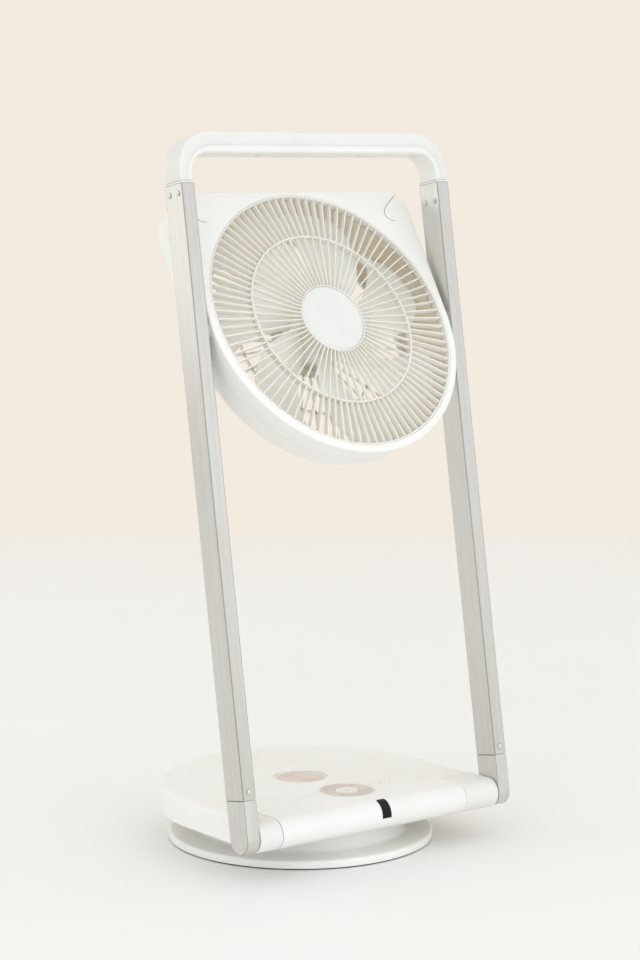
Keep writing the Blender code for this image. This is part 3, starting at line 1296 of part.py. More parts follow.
def make_fan(looks, rotor, motor_front):
    """The hub cup with its blades, the shaft through it and the nut that holds it."""
    back = HUB_FRONT + HUB_LENGTH
    inner = FAN_HUB_RADIUS - FAN_HUB_WALL
    bore = ROTOR_SHAFT_RADIUS + GAP
    boss = 2 * ROTOR_SHAFT_RADIUS
    profile = [
        (bore, HUB_FRONT),
        (FAN_HUB_RADIUS - FAN_HUB_WALL / 2, HUB_FRONT),
        (FAN_HUB_RADIUS, HUB_FRONT + FAN_HUB_WALL / 2),
        (FAN_HUB_RADIUS, back),
        (inner, back),
        (inner, HUB_FRONT + FAN_HUB_WALL),
        (boss, HUB_FRONT + FAN_HUB_WALL),
        (boss, back - FAN_HUB_WALL),
        (bore, back - FAN_HUB_WALL),
    ]
    fan = turned("fan_blade", profile, looks["fan"], FLATS_MOTOR, along_y, rotor)
    for blade in range(BLADES):
        turn = 360 * blade / BLADES
        front = blade_points(turn, -1)
        rear = blade_points(turn, 1)
        rings = [one + other[::-1] for one, other in zip(front, rear)]
        add(fan, skin("blade", rings, None, rotor))
    shaft_end = motor_front + MOTOR_BORE_DEPTH - 2 * GAP
    span = (ROTOR_SHAFT_FRONT, shaft_end)
    cylinder("rotor_shaft", ROTOR_SHAFT_RADIUS, *span, looks["steel"], FLATS_SMALL, along_y, rotor)
    nut_back = HUB_FRONT - GAP
    span = (nut_back - BLADE_NUT_LENGTH, nut_back)
    nut = cylinder("blade_nut", BLADE_NUT_RADIUS, *span, looks["white"], FLATS_SMALL, along_y, rotor)
    span = (ROTOR_SHAFT_FRONT - GAP, back)
    cut(nut, cylinder("blade_nut_bore", bore, *span, None, FLATS_SMALL, along_y, rotor))


def main():
    clear_scene()
    looks = {
        "white": material("warm_white_plastic", (0.90, 0.89, 0.86), 0.42),
        "fan": material("fan_plastic", (0.86, 0.85, 0.82), 0.40),
        "rail": material("champagne_aluminium", (0.70, 0.69, 0.65), 0.35, 0.9),
        "rose": material("rose_silver", (0.76, 0.70, 0.68), 0.40, 0.5),
        "steel": material("bright_steel", (0.62, 0.62, 0.62), 0.32, 1.0),
        "rubber": material("dark_rubber", (0.05, 0.05, 0.05), 0.80),
        "black": material("dark_window", (0.02, 0.02, 0.02), 0.15),
        "board": material("circuit_board", (0.05, 0.22, 0.12), 0.50),
        "bush": material("bearing_plastic", (0.78, 0.77, 0.73), 0.50),
    }
    swivel = empty("swivel_axis")
    pinion_axis = empty("pinion_axis", (0, GEAR_CENTRES, 0), 0, swivel)
    frame = empty("fold_axis", (0, HINGE_Y, HINGE_HEIGHT), RAIL_LEAN, swivel)
    head = empty("tilt_axis", (0, 0, HEAD_ALONG), HEAD_TILT - RAIL_LEAN, frame)
    rotor = empty("spin_axis", (0, 0, 0), 0, head)
    make_turntable(looks)
    make_swivel_drive(looks, swivel, pinion_axis)
    make_base_cover(looks["white"], swivel)
    make_base_pan(looks["white"], swivel)
    make_controls(looks, swivel)
    make_power(looks, swivel)
    for side in SIDES:
        make_end_cap(side, looks["white"], swivel)
        make_hinge(side, looks, swivel, frame)
        make_rail(side, looks, frame)
        make_pivot_boss(side, looks, head)
    make_handle(looks, frame)
    make_front_shell(looks, head)
    make_rear_shell(looks, head)
    make_front_grille(looks, head)
    make_centre_cap(looks, head)
    make_rear_grille(looks, head)
    motor_front = make_motor(looks, head)
    make_fan(looks, rotor, motor_front)


main()
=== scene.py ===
import math

import bmesh
import bpy
import numpy as np
from mathutils import Matrix


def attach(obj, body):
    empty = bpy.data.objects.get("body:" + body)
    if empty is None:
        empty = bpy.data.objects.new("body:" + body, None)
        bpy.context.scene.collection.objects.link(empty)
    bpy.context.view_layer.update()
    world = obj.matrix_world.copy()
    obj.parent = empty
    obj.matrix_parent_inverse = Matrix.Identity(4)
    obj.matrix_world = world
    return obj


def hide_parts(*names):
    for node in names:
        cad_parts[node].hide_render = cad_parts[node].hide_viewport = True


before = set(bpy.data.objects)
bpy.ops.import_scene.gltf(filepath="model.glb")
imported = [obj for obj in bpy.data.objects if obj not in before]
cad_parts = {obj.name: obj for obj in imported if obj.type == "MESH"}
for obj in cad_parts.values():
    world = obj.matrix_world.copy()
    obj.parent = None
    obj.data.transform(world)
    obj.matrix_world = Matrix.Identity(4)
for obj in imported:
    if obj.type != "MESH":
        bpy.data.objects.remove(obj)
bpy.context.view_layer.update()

# Places shared by several pieces, in metres, as the CAD has them
layout = dict(
    gap=0.0003,
    hingeY=-0.133,
    hingeZ=0.051,
    railLean=9.5,
    railInner=0.164,
    railOuter=0.180,
    railDepth=0.0315,
    headAlong=0.5296,
    headTilt=31.0,
    baseTop=0.0673,
    baseBottom=0.037,
    baseHalf=0.163,
    baseDepth=0.299,
    barrel=0.0165,
    seamLeft=-0.134,
    seamRight=0.1155,
    capBack=0.030,
    controlY=-0.084,
)

# Points closer than this are one point of a mesh
mergeWithin = 1e-7


class Wire:
    # One output of a node. Python's operators on it add Math nodes.
    def __init__(self, recipe, socket):
        self.recipe = recipe
        self.socket = socket

    def maths(self, operation, first, second=0.0):
        return self.recipe.node("ShaderNodeMath", {"operation": operation}, {0: first, 1: second})

    def __add__(self, other):
        return self.maths("ADD", self, other)

    __radd__ = __add__

    def __sub__(self, other):
        return self.maths("SUBTRACT", self, other)

    def __rsub__(self, other):
        return self.maths("SUBTRACT", other, self)

    def __mul__(self, other):
        return self.maths("MULTIPLY", self, other)

    __rmul__ = __mul__

    def __pow__(self, other):
        return self.maths("POWER", self, other)

    def __gt__(self, other):
        return self.maths("GREATER_THAN", self, other)

    def __lt__(self, other):
        return self.maths("LESS_THAN", self, other)

    def ramp(self, low, high):
        # 0 below low, 1 above high, with an S-shaped rise between them
        settings = {"interpolation_type": "SMOOTHSTEP"}
        return self.recipe.node("ShaderNodeMapRange", settings, {0: self, 1: low, 2: high})


class Recipe:
    # One finish: its material, and the one method that adds nodes to it
    def __init__(self, name):
        self.material = bpy.data.materials.new(name)
        self.material.use_nodes = True
        self.tree = self.material.node_tree
        self.shader = self.tree.nodes["Principled BSDF"]

    def feed(self, socket, value):
        if isinstance(value, Wire):
            self.tree.links.new(value.socket, socket)
        else:
            socket.default_value = value

    def node(self, kind, settings=None, sockets=None, out=0):
        # A node of that kind, with its settings made before its sockets, and one of its outputs
        made = self.tree.nodes.new(kind)
        for key, value in (settings or {}).items():
            setattr(made, key, value)
        for key, value in (sockets or {}).items():
            self.feed(made.inputs[key], value)
        return Wire(self, made.outputs[out])

    def place(self, turn=(0, 0, 0), move=(0, 0, 0), stretch=(1, 1, 1)):
        # Object coordinates moved so that a point becomes the centre, turned, then stretched
        spot = self.node("ShaderNodeTexCoord", {}, {}, out=3)
        back = tuple(-value for value in move)
        spot = self.node("ShaderNodeVectorMath", {"operation": "ADD"}, {0: spot, 1: back})
        turns = tuple(math.radians(value) for value in turn)
        spot = self.node("ShaderNodeMapping", {}, {"Vector": spot, "Rotation": turns})
        return self.node("ShaderNodeVectorMath", {"operation": "MULTIPLY"}, {0: spot, 1: stretch})

    def parts(self, spot):
        split = self.node("ShaderNodeSeparateXYZ", {}, {0: spot})
        outputs = split.socket.node.outputs
        return Wire(self, outputs[0]), Wire(self, outputs[1]), Wire(self, outputs[2])

    def noise(self, spot, scale, detail=2.0, rough=0.5):
        sockets = {"Vector": spot, "Scale": scale, "Detail": detail, "Roughness": rough}
        return self.node("ShaderNodeTexNoise", {}, sockets)

    def mix(self, share, first, second):
        sockets = {0: share, 6: first, 7: second}
        return self.node("ShaderNodeMix", {"data_type": "RGBA"}, sockets, out=2)

    def bump(self, height, depth, strength=1.0):
        sockets = {"Strength": strength, "Distance": depth, "Height": height}
        return self.node("ShaderNodeBump", {}, sockets)

    def finish(self, **values):
        for key, value in values.items():
            self.feed(self.shader.inputs[key.replace("_", " ")], value)
        return self.material


def tint(red, green, blue):
    # A screen colour from 0 to 255 as the linear one that a shader takes
    linear = []
    for value in (red, green, blue):
        share = value / 255
        linear.append(share / 12.92 if share <= 0.04045 else ((share + 0.055) / 1.055) ** 2.4)
    return (*linear, 1.0)


# Moulded plastics: a spark-eroded skin, a slow drift of tone and faint scuffs
# Tones are screen colours, grain is in waves a metre and depth in metres
plasticLooks = dict(
    warmWhite=dict(
        tone=(244, 243, 239), deep=(240, 239, 234), rough=0.40, grain=2300, depth=0.00002, scuff=0.05, through=0.05
    ),
    grilleWhite=dict(
        tone=(243, 240, 232), deep=(237, 232, 221), rough=0.34, grain=3200, depth=0.00001, scuff=0.03
    ),
    # A darker copy of the warm white: painted shade on the caps, collars, bosses and button, which catch the lamps
    # most
    capWhiteShaded=dict(
        tone=(237, 237, 234), deep=(232, 231, 226), rough=0.30, grain=3600, depth=0.000008, scuff=0.03
    ),
    bladeWhite=dict(
        tone=(247, 246, 240), deep=(241, 239, 231), rough=0.30, grain=1800, depth=0.00001, scuff=0.04
    ),
    # A darker copy of the warm white: painted shade on the handle's top and front, which face the lamps
    handleWhiteShaded=dict(
        tone=(233, 233, 230), deep=(227, 226, 221), rough=0.42, grain=2300, depth=0.00002, scuff=0.05
    ),
    # A lighter copy of the warm white: painted light on the handle's underside, which lies in shade
    gripWhiteLit=dict(
        tone=(240, 239, 235), deep=(235, 233, 228), rough=0.44, grain=2300, depth=0.00002, scuff=0.05
    ),
    plateWhite=dict(
        tone=(243, 242, 238), deep=(238, 237, 231), rough=0.42, grain=2300, depth=0.00002, scuff=0.05
    ),
    innerWhite=dict(
        tone=(226, 223, 214), deep=(214, 210, 200), rough=0.55, grain=1200, depth=0.00003, scuff=0.10
    ),
    # A cream copy of the white plastic for the duct behind the fins: painted shade, the warm beige of the shaded gaps
    # between the fins
    innerCreamShade=dict(
        tone=(240, 229, 209), deep=(234, 221, 199), rough=0.50, grain=1500, depth=0.00002, scuff=0.04
    ),
    bearing=dict(
        tone=(222, 219, 208), deep=(208, 204, 192), rough=0.46, grain=1500, depth=0.00002, scuff=0.12
    ),
    # Grey for the printed marks and dashes, and painted shade for the head's corner grooves
    printAndShadowGrey=dict(
        tone=(176, 168, 152), deep=(160, 152, 137), rough=0.60, grain=1500, depth=0.00001, scuff=0.02
    ),
)
# What every moulding has: the scales of its patterns, and how much each of them shows
moulding = dict(
    drift=9.0, skin=0.31, grainShare=0.7, skinShare=0.6, relief=0.55, scuffs=46.0, scuffDraw=0.35,
    scuffTone=(206, 200, 188), scuffRough=0.08, speck=0.72, speckShare=0.10, speckTone=(214, 209, 198),
    grainRough=0.16, driftRough=0.10, gloss=1.49, through=0.30, throughTint=(1.0, 0.86, 0.70), throughReach=0.006,
)


def mouldedPlastic(name):
    look, m = plasticLooks[name], moulding
    recipe = Recipe(name + "Plastic")
    spot = recipe.place()
    drift = recipe.noise(spot, m["drift"], 3.0, 0.6)
    grain = recipe.noise(spot, look["grain"], 2.0, 0.6)
    skin = recipe.noise(spot, look["grain"] * m["skin"], 2.0, 0.5)
    handled = recipe.noise(recipe.place(stretch=(1, 1, m["scuffDraw"])), m["scuffs"], 5.0, 0.7).ramp(0.56, 0.80)
    colour = recipe.mix(drift.ramp(0.30, 0.72), tint(*look["tone"]), tint(*look["deep"]))
    colour = recipe.mix(handled * look["scuff"], colour, tint(*m["scuffTone"]))
    colour = recipe.mix((grain > m["speck"]) * m["speckShare"], colour, tint(*m["speckTone"]))
    rough = look["rough"] + (grain - 0.5) * m["grainRough"] + (drift - 0.5) * m["driftRough"]
    rough = rough + handled * m["scuffRough"]
    normal = recipe.bump(grain * m["grainShare"] + skin * m["skinShare"], look["depth"], m["relief"])
    recipe.shader.inputs["IOR"].default_value = m["gloss"]
    # White mouldings let a little light through their walls
    recipe.shader.inputs["Subsurface Weight"].default_value = look.get("through", m["through"])
    recipe.shader.inputs["Subsurface Radius"].default_value = m["throughTint"]
    recipe.shader.inputs["Subsurface Scale"].default_value = m["throughReach"]
    return recipe.finish(Base_Color=colour, Roughness=rough, Normal=normal)


# The anodised rails: fine streaks along their length, which the lean is taken out of first
railLook = dict(
    # The edge tone is the painted shade on the rails' corner roundings
    tone=(207, 205, 199), light=(227, 226, 222), dark=(189, 186, 178), edge=(150, 147, 138), rough=0.34, draw=0.012,
    streaks=2600.0, broad=420.0, drift=7.0, pits=2900.0, depth=0.000012, metal=0.72, gloss=1.8, cornerShade=0.85,
)


def brushedAluminium(name, look, lean):
    # Fine noise drawn out along the rail, and painted shade on the corner roundings, where the edge mark is 1
    recipe = Recipe(name)
    spot = recipe.place(turn=(lean, 0, 0))
    stretch = {0: spot, 1: (1, 1, look["draw"])}
    along = recipe.node("ShaderNodeVectorMath", {"operation": "MULTIPLY"}, stretch)
    streaks = recipe.noise(along, look["streaks"], 3.0, 0.6)
    broad = recipe.noise(along, look["broad"], 2.0, 0.5)
    drift = recipe.noise(spot, look["drift"], 2.0, 0.5)
    pits = recipe.noise(spot, look["pits"], 2.0, 0.6)
    colour = recipe.mix(streaks.ramp(0.30, 0.70), tint(*look["dark"]), tint(*look["light"]))
    colour = recipe.mix(0.70, colour, tint(*look["tone"]))
    colour = recipe.mix(broad.ramp(0.35, 0.70) * 0.25, colour, tint(*look["light"]))
    edge = recipe.node("ShaderNodeAttribute", {"attribute_name": "edge"}, {}, out=2)
    # Painted shade: the corner roundings are darkened towards the edge tone
    colour = recipe.mix(edge * look["cornerShade"], colour, tint(*look["edge"]))
    rough = look["rough"] + (streaks - 0.5) * 0.22 + (drift - 0.5) * 0.10 + (pits > 0.68) * 0.06
    normal = recipe.bump(streaks * 0.8 + pits * 0.3, look["depth"], 0.5)
    recipe.shader.inputs["Metallic"].default_value = look["metal"]
    recipe.shader.inputs["IOR"].default_value = look["gloss"]
    return recipe.finish(Base_Color=colour, Roughness=rough, Normal=normal)


# Rose silver: turned about an axis, so its fine lines are circles round that axis
silverLooks = dict(
    ring=dict(
        middle=(0, layout["controlY"], 0), tones=((216, 207, 202), (232, 227, 223), (200, 190, 184)), rough=0.34,
        pitch=2600, limit=0.0300,
    ),
    dock=dict(
        middle=(0, 0, 0), tones=((222, 209, 200), (236, 228, 222), (208, 194, 186)), rough=0.30,
        pitch=1400, limit=0.0272,
    ),
)
silver = dict(surround=(244, 243, 240), rise=200, cloud=60.0, fans=2.0, fanStart=0.8, metal=0.65, depth=0.00001)


def turnedSilver(name):
    look = silverLooks[name]
    recipe = Recipe("roseSilver" + name.title())
    spot = recipe.place(move=look["middle"])
    x, y, z = recipe.parts(spot)
    radius = (x * x + y * y) ** 0.5
    sockets = {0: radius * look["pitch"], 1: 0.0, 2: z * silver["rise"]}
    line = recipe.node("ShaderNodeCombineXYZ", {}, sockets)
    rings = recipe.noise(line, 1.0, 3.0, 0.7)
    angle = recipe.node("ShaderNodeMath", {"operation": "ARCTAN2"}, {0: y, 1: x})
    swing = {0: angle * silver["fans"] + silver["fanStart"]}
    shine = recipe.node("ShaderNodeMath", {"operation": "SINE"}, swing).ramp(-1.0, 1.0)
    cloud = recipe.noise(spot, silver["cloud"], 2.0, 0.5)
    tones = [tint(*tone) for tone in look["tones"]]
    colour = recipe.mix(shine * 0.6 + cloud * 0.3, tones[0], tones[1])
    colour = recipe.mix(rings.ramp(0.35, 0.75) * 0.35, colour, tones[2])
    # The silver ends at a radius and is white beyond it. On the dock's floor that white band is partly a white border
    # and partly a painted highlight standing for the brightly lit wall of the recess
    inside = radius < look["limit"]
    colour = recipe.mix(inside, tint(*silver["surround"]), colour)
    rough = look["rough"] + (rings - 0.5) * 0.25
    normal = recipe.bump(rings, silver["depth"], 0.5)
    return recipe.finish(Base_Color=colour, Roughness=rough, Metallic=inside * silver["metal"], Normal=normal)


# Steel: lines from the lathe and a few stains
steelLooks = dict(
    machinedSteel=dict(tone=(188, 187, 184), rough=0.30),
    screwSteel=dict(tone=(236, 235, 230), rough=0.34),
    # The darkest steel is a painted shadow: it colours the rings round the screw heads
    screwShadowSteel=dict(tone=(132, 130, 124), rough=0.50),
)
steel = dict(darker=14, lathe=900.0, stain=35.0, stainTone=(150, 146, 138), depth=0.00001)


def machinedSteel(name):
    # Noise six times finer across X for the lathe's lines, and a broad one for the stains
    look = steelLooks[name]
    recipe = Recipe(name)
    spot = recipe.place()
    lathe = recipe.noise(recipe.place(stretch=(1, 6, 6)), steel["lathe"], 3.0, 0.6)
    stain = recipe.noise(spot, steel["stain"], 3.0, 0.6)
    dark = tint(*[value - steel["darker"] for value in look["tone"]])
    colour = recipe.mix(lathe.ramp(0.3, 0.7), dark, tint(*look["tone"]))
    colour = recipe.mix(stain.ramp(0.55, 0.8) * 0.3, colour, tint(*steel["stainTone"]))
    normal = recipe.bump(lathe, steel["depth"], 0.5)
    recipe.shader.inputs["Metallic"].default_value = 1.0
    rough = look["rough"] + (lathe - 0.5) * 0.2 + stain * 0.1
    return recipe.finish(Base_Color=colour, Roughness=rough, Normal=normal)


rubberLook = dict(tone=(38, 36, 34), dust=(108, 104, 98), rough=0.72, grain=1800.0, patches=60.0, depth=0.00004)


def footRubber():
    # A matt grain with patches of dust
    look = rubberLook
    recipe = Recipe("footRubber")
    spot = recipe.place()
    grain = recipe.noise(spot, look["grain"], 3.0, 0.7)
    dust = recipe.noise(spot, look["patches"], 4.0, 0.7)
    colour = recipe.mix(dust.ramp(0.50, 0.78) * 0.35, tint(*look["tone"]), tint(*look["dust"]))
    rough = look["rough"] + (grain - 0.5) * 0.3
    return recipe.finish(Base_Color=colour, Roughness=rough, Normal=recipe.bump(grain, look["depth"], 0.7))


windowLook = dict(
    tone=(9, 8, 8), dust=(74, 70, 66), rough=0.10, smear=140.0, specks=2600.0, depth=0.000004, gloss=1.32,
    coat=0.10, coatRough=0.04,
)


def smokedWindow():
    # Near black and glossy, with smears that change its roughness and a few specks of dust
    look = windowLook
    recipe = Recipe("smokedWindow")
    spot = recipe.place()
    smear = recipe.noise(recipe.place(stretch=(1, 1, 0.3)), look["smear"], 4.0, 0.6)
    dust = recipe.noise(spot, look["specks"], 2.0, 0.6)
    colour = recipe.mix((dust > 0.74) * 0.6, tint(*look["tone"]), tint(*look["dust"]))
    recipe.shader.inputs["IOR"].default_value = look["gloss"]
    recipe.shader.inputs["Coat Roughness"].default_value = look["coatRough"]
    rough = look["rough"] + smear * 0.14
    normal = recipe.bump(smear, look["depth"], 0.4)
    return recipe.finish(Base_Color=colour, Roughness=rough, Coat_Weight=look["coat"], Normal=normal)


boardLook = dict(
    resist=(24, 78, 52), track=(46, 116, 78), pad=(206, 190, 142), tracks=380, cells=240.0, rough=0.42, depth=0.00004
)


def circuitBoard():
    # Tracks are a folded wave of X, stepped aside from cell to cell, with a pad in the middle of each cell
    look = boardLook
    recipe = Recipe("circuitBoard")
    spot = recipe.place()
    x = recipe.parts(recipe.place(stretch=(look["tracks"],) * 3))[0]
    sockets = {"Vector": spot, "Scale": look["cells"]}
    cells = recipe.node("ShaderNodeTexVoronoi", {"distance": "CHEBYCHEV"}, sockets)
    waves = x + (cells > 0.35) * 0.5
    tracks = recipe.node("ShaderNodeMath", {"operation": "PINGPONG"}, {0: waves, 1: 0.5}) < 0.16
    pads = cells < 0.14
    colour = recipe.mix(tracks * 0.7, tint(*look["resist"]), tint(*look["track"]))
    colour = recipe.mix(pads, colour, tint(*look["pad"]))
    metal = pads * 0.9
    rough = look["rough"] - pads * 0.12
    normal = recipe.bump(tracks * 0.5 + pads, look["depth"], 0.6)
    return recipe.finish(Base_Color=colour, Roughness=rough, Metallic=metal, Normal=normal)


finishes = {name: mouldedPlastic(name) for name in plasticLooks}
finishes["rail"] = brushedAluminium("champagneAluminium", railLook, layout["railLean"])
finishes["ring"] = turnedSilver("ring")
finishes["dock"] = turnedSilver("dock")
finishes["steel"] = machinedSteel("machinedSteel")
finishes["screw"] = machinedSteel("screwSteel")
# Dark steel for the rings of painted shadow round the screw heads
finishes["seat"] = machinedSteel("screwShadowSteel")
finishes["rubber"] = footRubber()
finishes["window"] = smokedWindow()
finishes["board"] = circuitBoard()
print("finishes made:", len(finishes))


# Shapes are pairs of points and faces, worked out as whole arrays
def arcPoints(centre, radius, start, end, steps):
    # A point at angle t stands at centre + radius * (cos t, sin t)
    turn = np.radians(np.linspace(start, end, steps + 1))
    return np.stack([centre[0] + radius * np.cos(turn), centre[1] + radius * np.sin(turn)], axis=1)


def softOutline(corners, steps=6):
    # Each corner is (u, v, radius). A radius r is an arc tangent to both sides, its centre at
    # corner + bisector * r / sin(half the corner's angle), with a point beyond each end that keeps the flat flat
    points = np.array([corner[:2] for corner in corners], float)
    outline = []
    for k, corner in enumerate(corners):
        here = points[k]
        back = points[k - 1] - here
        ahead = points[(k + 1) % len(points)] - here
        reach = min(np.linalg.norm(back), np.linalg.norm(ahead))
        back, ahead = back / np.linalg.norm(back), ahead / np.linalg.norm(ahead)
        half = math.acos(np.clip(back @ ahead, -1, 1)) / 2
        radius = corner[2]
        if radius <= 0 or half > math.radians(89.5):
            outline.append(here[None])
            continue
        run = min(radius / math.tan(half), 0.45 * reach)
        radius = run * math.tan(half)
        middle = (back + ahead) / np.linalg.norm(back + ahead)
        centre = here + middle * radius / math.sin(half)
        first = here + back * run - centre
        last = here + ahead * run - centre
        spread = math.acos(np.clip(first @ last / radius**2, -1, 1))
        share = np.linspace(0, 1, steps + 1)[:, None]
        curve = (np.sin((1 - share) * spread) * first + np.sin(share * spread) * last) / math.sin(spread)
        support = min(0.25 * run, 0.04 * reach)
        outline.append((here + back * (run + support))[None])
        outline.append(centre + curve)
        outline.append((here + ahead * (run + support))[None])
    return np.concatenate(outline)


def gridShape(grid, wrapRows=False, wrapColumns=True, capEnds=False):
    # Point (i, j) of the grid is joined to its neighbours in the next row and column
    rows, columns = grid.shape[:2]
    index = np.arange(rows * columns).reshape(rows, columns)
    below = np.roll(index, -1, axis=0)
    if not wrapRows:
        index, below = index[:-1], below[:-1]
    here, under = index, below
    right, underRight = np.roll(here, -1, axis=1), np.roll(under, -1, axis=1)
    faces = np.stack([here, right, underRight, under], axis=2)
    if not wrapColumns:
        faces = faces[:, :-1]
    faces = faces.reshape(-1, 4).tolist()
    if capEnds:
        faces.append(list(range(columns)))
        faces.append(list(range((rows - 1) * columns, rows * columns)))
    return grid.reshape(-1, 3), faces


def spunShape(profile, steps, place=lambda points: points):
    # A profile of (radius, height) carried round the axis: (radius cos t, radius sin t, height)
    turn = np.linspace(0, 2 * np.pi, steps, endpoint=False)[:, None]
    radius, height = profile[None, :, 0], profile[None, :, 1]
    grid = np.stack([radius * np.cos(turn), radius * np.sin(turn), height + 0 * turn], axis=2)
    return gridShape(place(grid), wrapRows=True)


def joined(shapes):
    # Shapes as one: each one's corners are counted on from the points before it
    points, faces, count = [], [], 0
    for some, ends in shapes:
        points.append(some)
        faces += [[corner + count for corner in face] for face in ends]
        count += len(some)
    return np.concatenate(points), faces


def moved(shape, place):
    # The same faces on points that a function has moved
    return place(shape[0]), shape[1]


def laidAt(outline, z):
    # An outline of (x, y) at one height
    return np.column_stack([outline, np.full(len(outline), z)])


def stoodAt(outline, x):
    # An outline of (y, z) at one x
    return np.column_stack([np.full(len(outline), x), outline])


def drawnIn(outline, middle, amount):
    # Each point goes straight towards the middle by the amount
    away = outline - middle
    length = np.linalg.norm(away, axis=1, keepdims=True)
    return middle + away * (1 - amount / length)


def alongFrame(points):
    # From the folding frame's own axes, whose origin is the hinge and whose Z runs up the rails
    lean = math.radians(layout["railLean"])
    y = points[..., 1] * math.cos(lean) + points[..., 2] * math.sin(lean)
    z = -points[..., 1] * math.sin(lean) + points[..., 2] * math.cos(lean)
    return np.stack([points[..., 0], y + layout["hingeY"], z + layout["hingeZ"]], axis=-1)


def alongHead(points):
    # From the head's own axes, whose origin is its pivot and whose -Y is the way it blows
    tilt = math.radians(layout["headTilt"])
    pivot = alongFrame(np.array([0, 0, layout["headAlong"]]))
    y = points[..., 1] * math.cos(tilt) + points[..., 2] * math.sin(tilt)
    z = -points[..., 1] * math.sin(tilt) + points[..., 2] * math.cos(tilt)
    return np.stack([points[..., 0], y + pivot[1], z + pivot[2]], axis=-1)


def onHeadAxis(points):
    # A spun shape's axis is Z: turned so that it runs along the head's own Y
    return alongHead(np.stack([points[..., 0], points[..., 2], points[..., 1]], axis=-1))


def meshOf(name, shape, marks=None):
    # Points that coincide become one, faces turn outwards, and marks are numbers kept on the points
    mesh = bpy.data.meshes.new(name)
    mesh.from_pydata(shape[0].tolist(), [], shape[1])
    for key, values in (marks or {}).items():
        attribute = mesh.attributes.new(key, "FLOAT", "POINT")
        attribute.data.foreach_set("value", np.asarray(values, np.float32).ravel())
    work = bmesh.new()
    work.from_mesh(mesh)
    bmesh.ops.remove_doubles(work, verts=work.verts, dist=mergeWithin)
    bmesh.ops.recalc_face_normals(work, faces=work.faces)
    work.to_mesh(mesh)
    work.free()
    return mesh


def piece(name, shape, look, body, slot, replaces=(), smooth=32, marks=None):
    # A shape as a piece of the fan: its finish, the body it moves with and the nodes that it stands for
    made = bpy.data.objects.new(name, meshOf(name, shape, marks))
    return dressed(made, look, body, slot, replaces, smooth)


def dressed(made, look, body, slot, replaces=(), smooth=32):
    # Smooth shading with edges that are sharp from an angle up, the finish, and the body
    mesh = made.data
    mesh.shade_smooth()
    mesh.set_sharp_from_angle(angle=math.radians(smooth))
    mesh.materials.clear()
    mesh.materials.append(finishes[look])
    if made.name not in bpy.context.scene.collection.objects:
        bpy.context.scene.collection.objects.link(made)
    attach(made, body)
    if replaces:
        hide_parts(*replaces)
    return made


def carved(name, shape, cuts, keeps=()):
    # The shape less each cutter and common with each keeper, as a mesh with nothing live on it
    made = bpy.data.objects.new(name, meshOf(name, shape))
    bpy.context.scene.collection.objects.link(made)
    helpers = []
    for kind, others in (("INTERSECT", keeps), ("DIFFERENCE", cuts)):
        for k, other in enumerate(others):
            helper = bpy.data.objects.new(name + kind + str(k), meshOf("helper", other))
            bpy.context.scene.collection.objects.link(helper)
            helpers.append(helper)
            change = made.modifiers.new(kind + str(k), "BOOLEAN")
            change.operation = kind
            change.solver = "EXACT"
            change.object = helper
    bpy.context.view_layer.update()
    seen = made.evaluated_get(bpy.context.evaluated_depsgraph_get())
    mesh = bpy.data.meshes.new_from_object(seen)
    made.modifiers.clear()
    made.data = mesh
    for helper in helpers:
        bpy.data.objects.remove(helper, do_unlink=True)
    return made


def rounder(made, width, segments, angle):
    # A bevel on the edges that are sharper than the angle
    edge = made.modifiers.new("edges", "BEVEL")
    edge.width = width
    edge.segments = segments
    edge.limit_method = "ANGLE"
    edge.angle_limit = math.radians(angle)
    edge.use_clamp_overlap = True
    edge.harden_normals = True
    return made


def boxShape(low, high):
    # The box between its lowest and its highest corner
    x, y, z = zip(low, high)
    ring = np.array([(x[0], y[0]), (x[1], y[0]), (x[1], y[1]), (x[0], y[1])])
    return gridShape(np.stack([laidAt(ring, level) for level in z]), capEnds=True)


def barShape(x, y, wide, tall, low, high):
    # A box about a middle, from one height to another
    return boxShape((x - wide / 2, y - tall / 2, low), (x + wide / 2, y + tall / 2, high))


def arcBar(centre, radius, width, start, end, low, high):
    # A rectangle of that width and from low to high, carried round the centre from one angle to the other
    turn = np.radians(np.linspace(start, end, 31))[:, None]
    reach = radius + np.array([-1, 1, 1, -1])[None] * width / 2
    level = np.array([low, low, high, high])[None] + 0 * turn
    grid = np.stack([centre[0] + reach * np.cos(turn), centre[1] + reach * np.sin(turn), level], axis=2)
    return gridShape(grid, capEnds=True)


def rodShape(radius, start, end, steps, place=lambda points: points):
    # A closed cylinder about Z from one height to another
    profile = np.array([(0, start), (radius, start), (radius, end), (0, end)])
    return spunShape(profile, steps, place)


# The turntable: a rounded rim, a gentle slope up to a fillet, and the neck that the base turns on
turntable = dict(
    radius=0.1475, under=0.0025, lipRadius=0.1453, lip=0.0015, rim=0.0073, roundness=0.0036, slope=0.0014, neck=0.115,
    fillet=0.004, top=0.0355, wall=0.0035, hub=0.022, bore=0.0185, hubTop=0.048, disc=0.003, seat=0.0048,
    coverEdge=0.1339, edge=0.0005, thinEdge=0.0003, footInner=0.1375, footOuter=0.145, footTop=0.0022, steps=192,
)


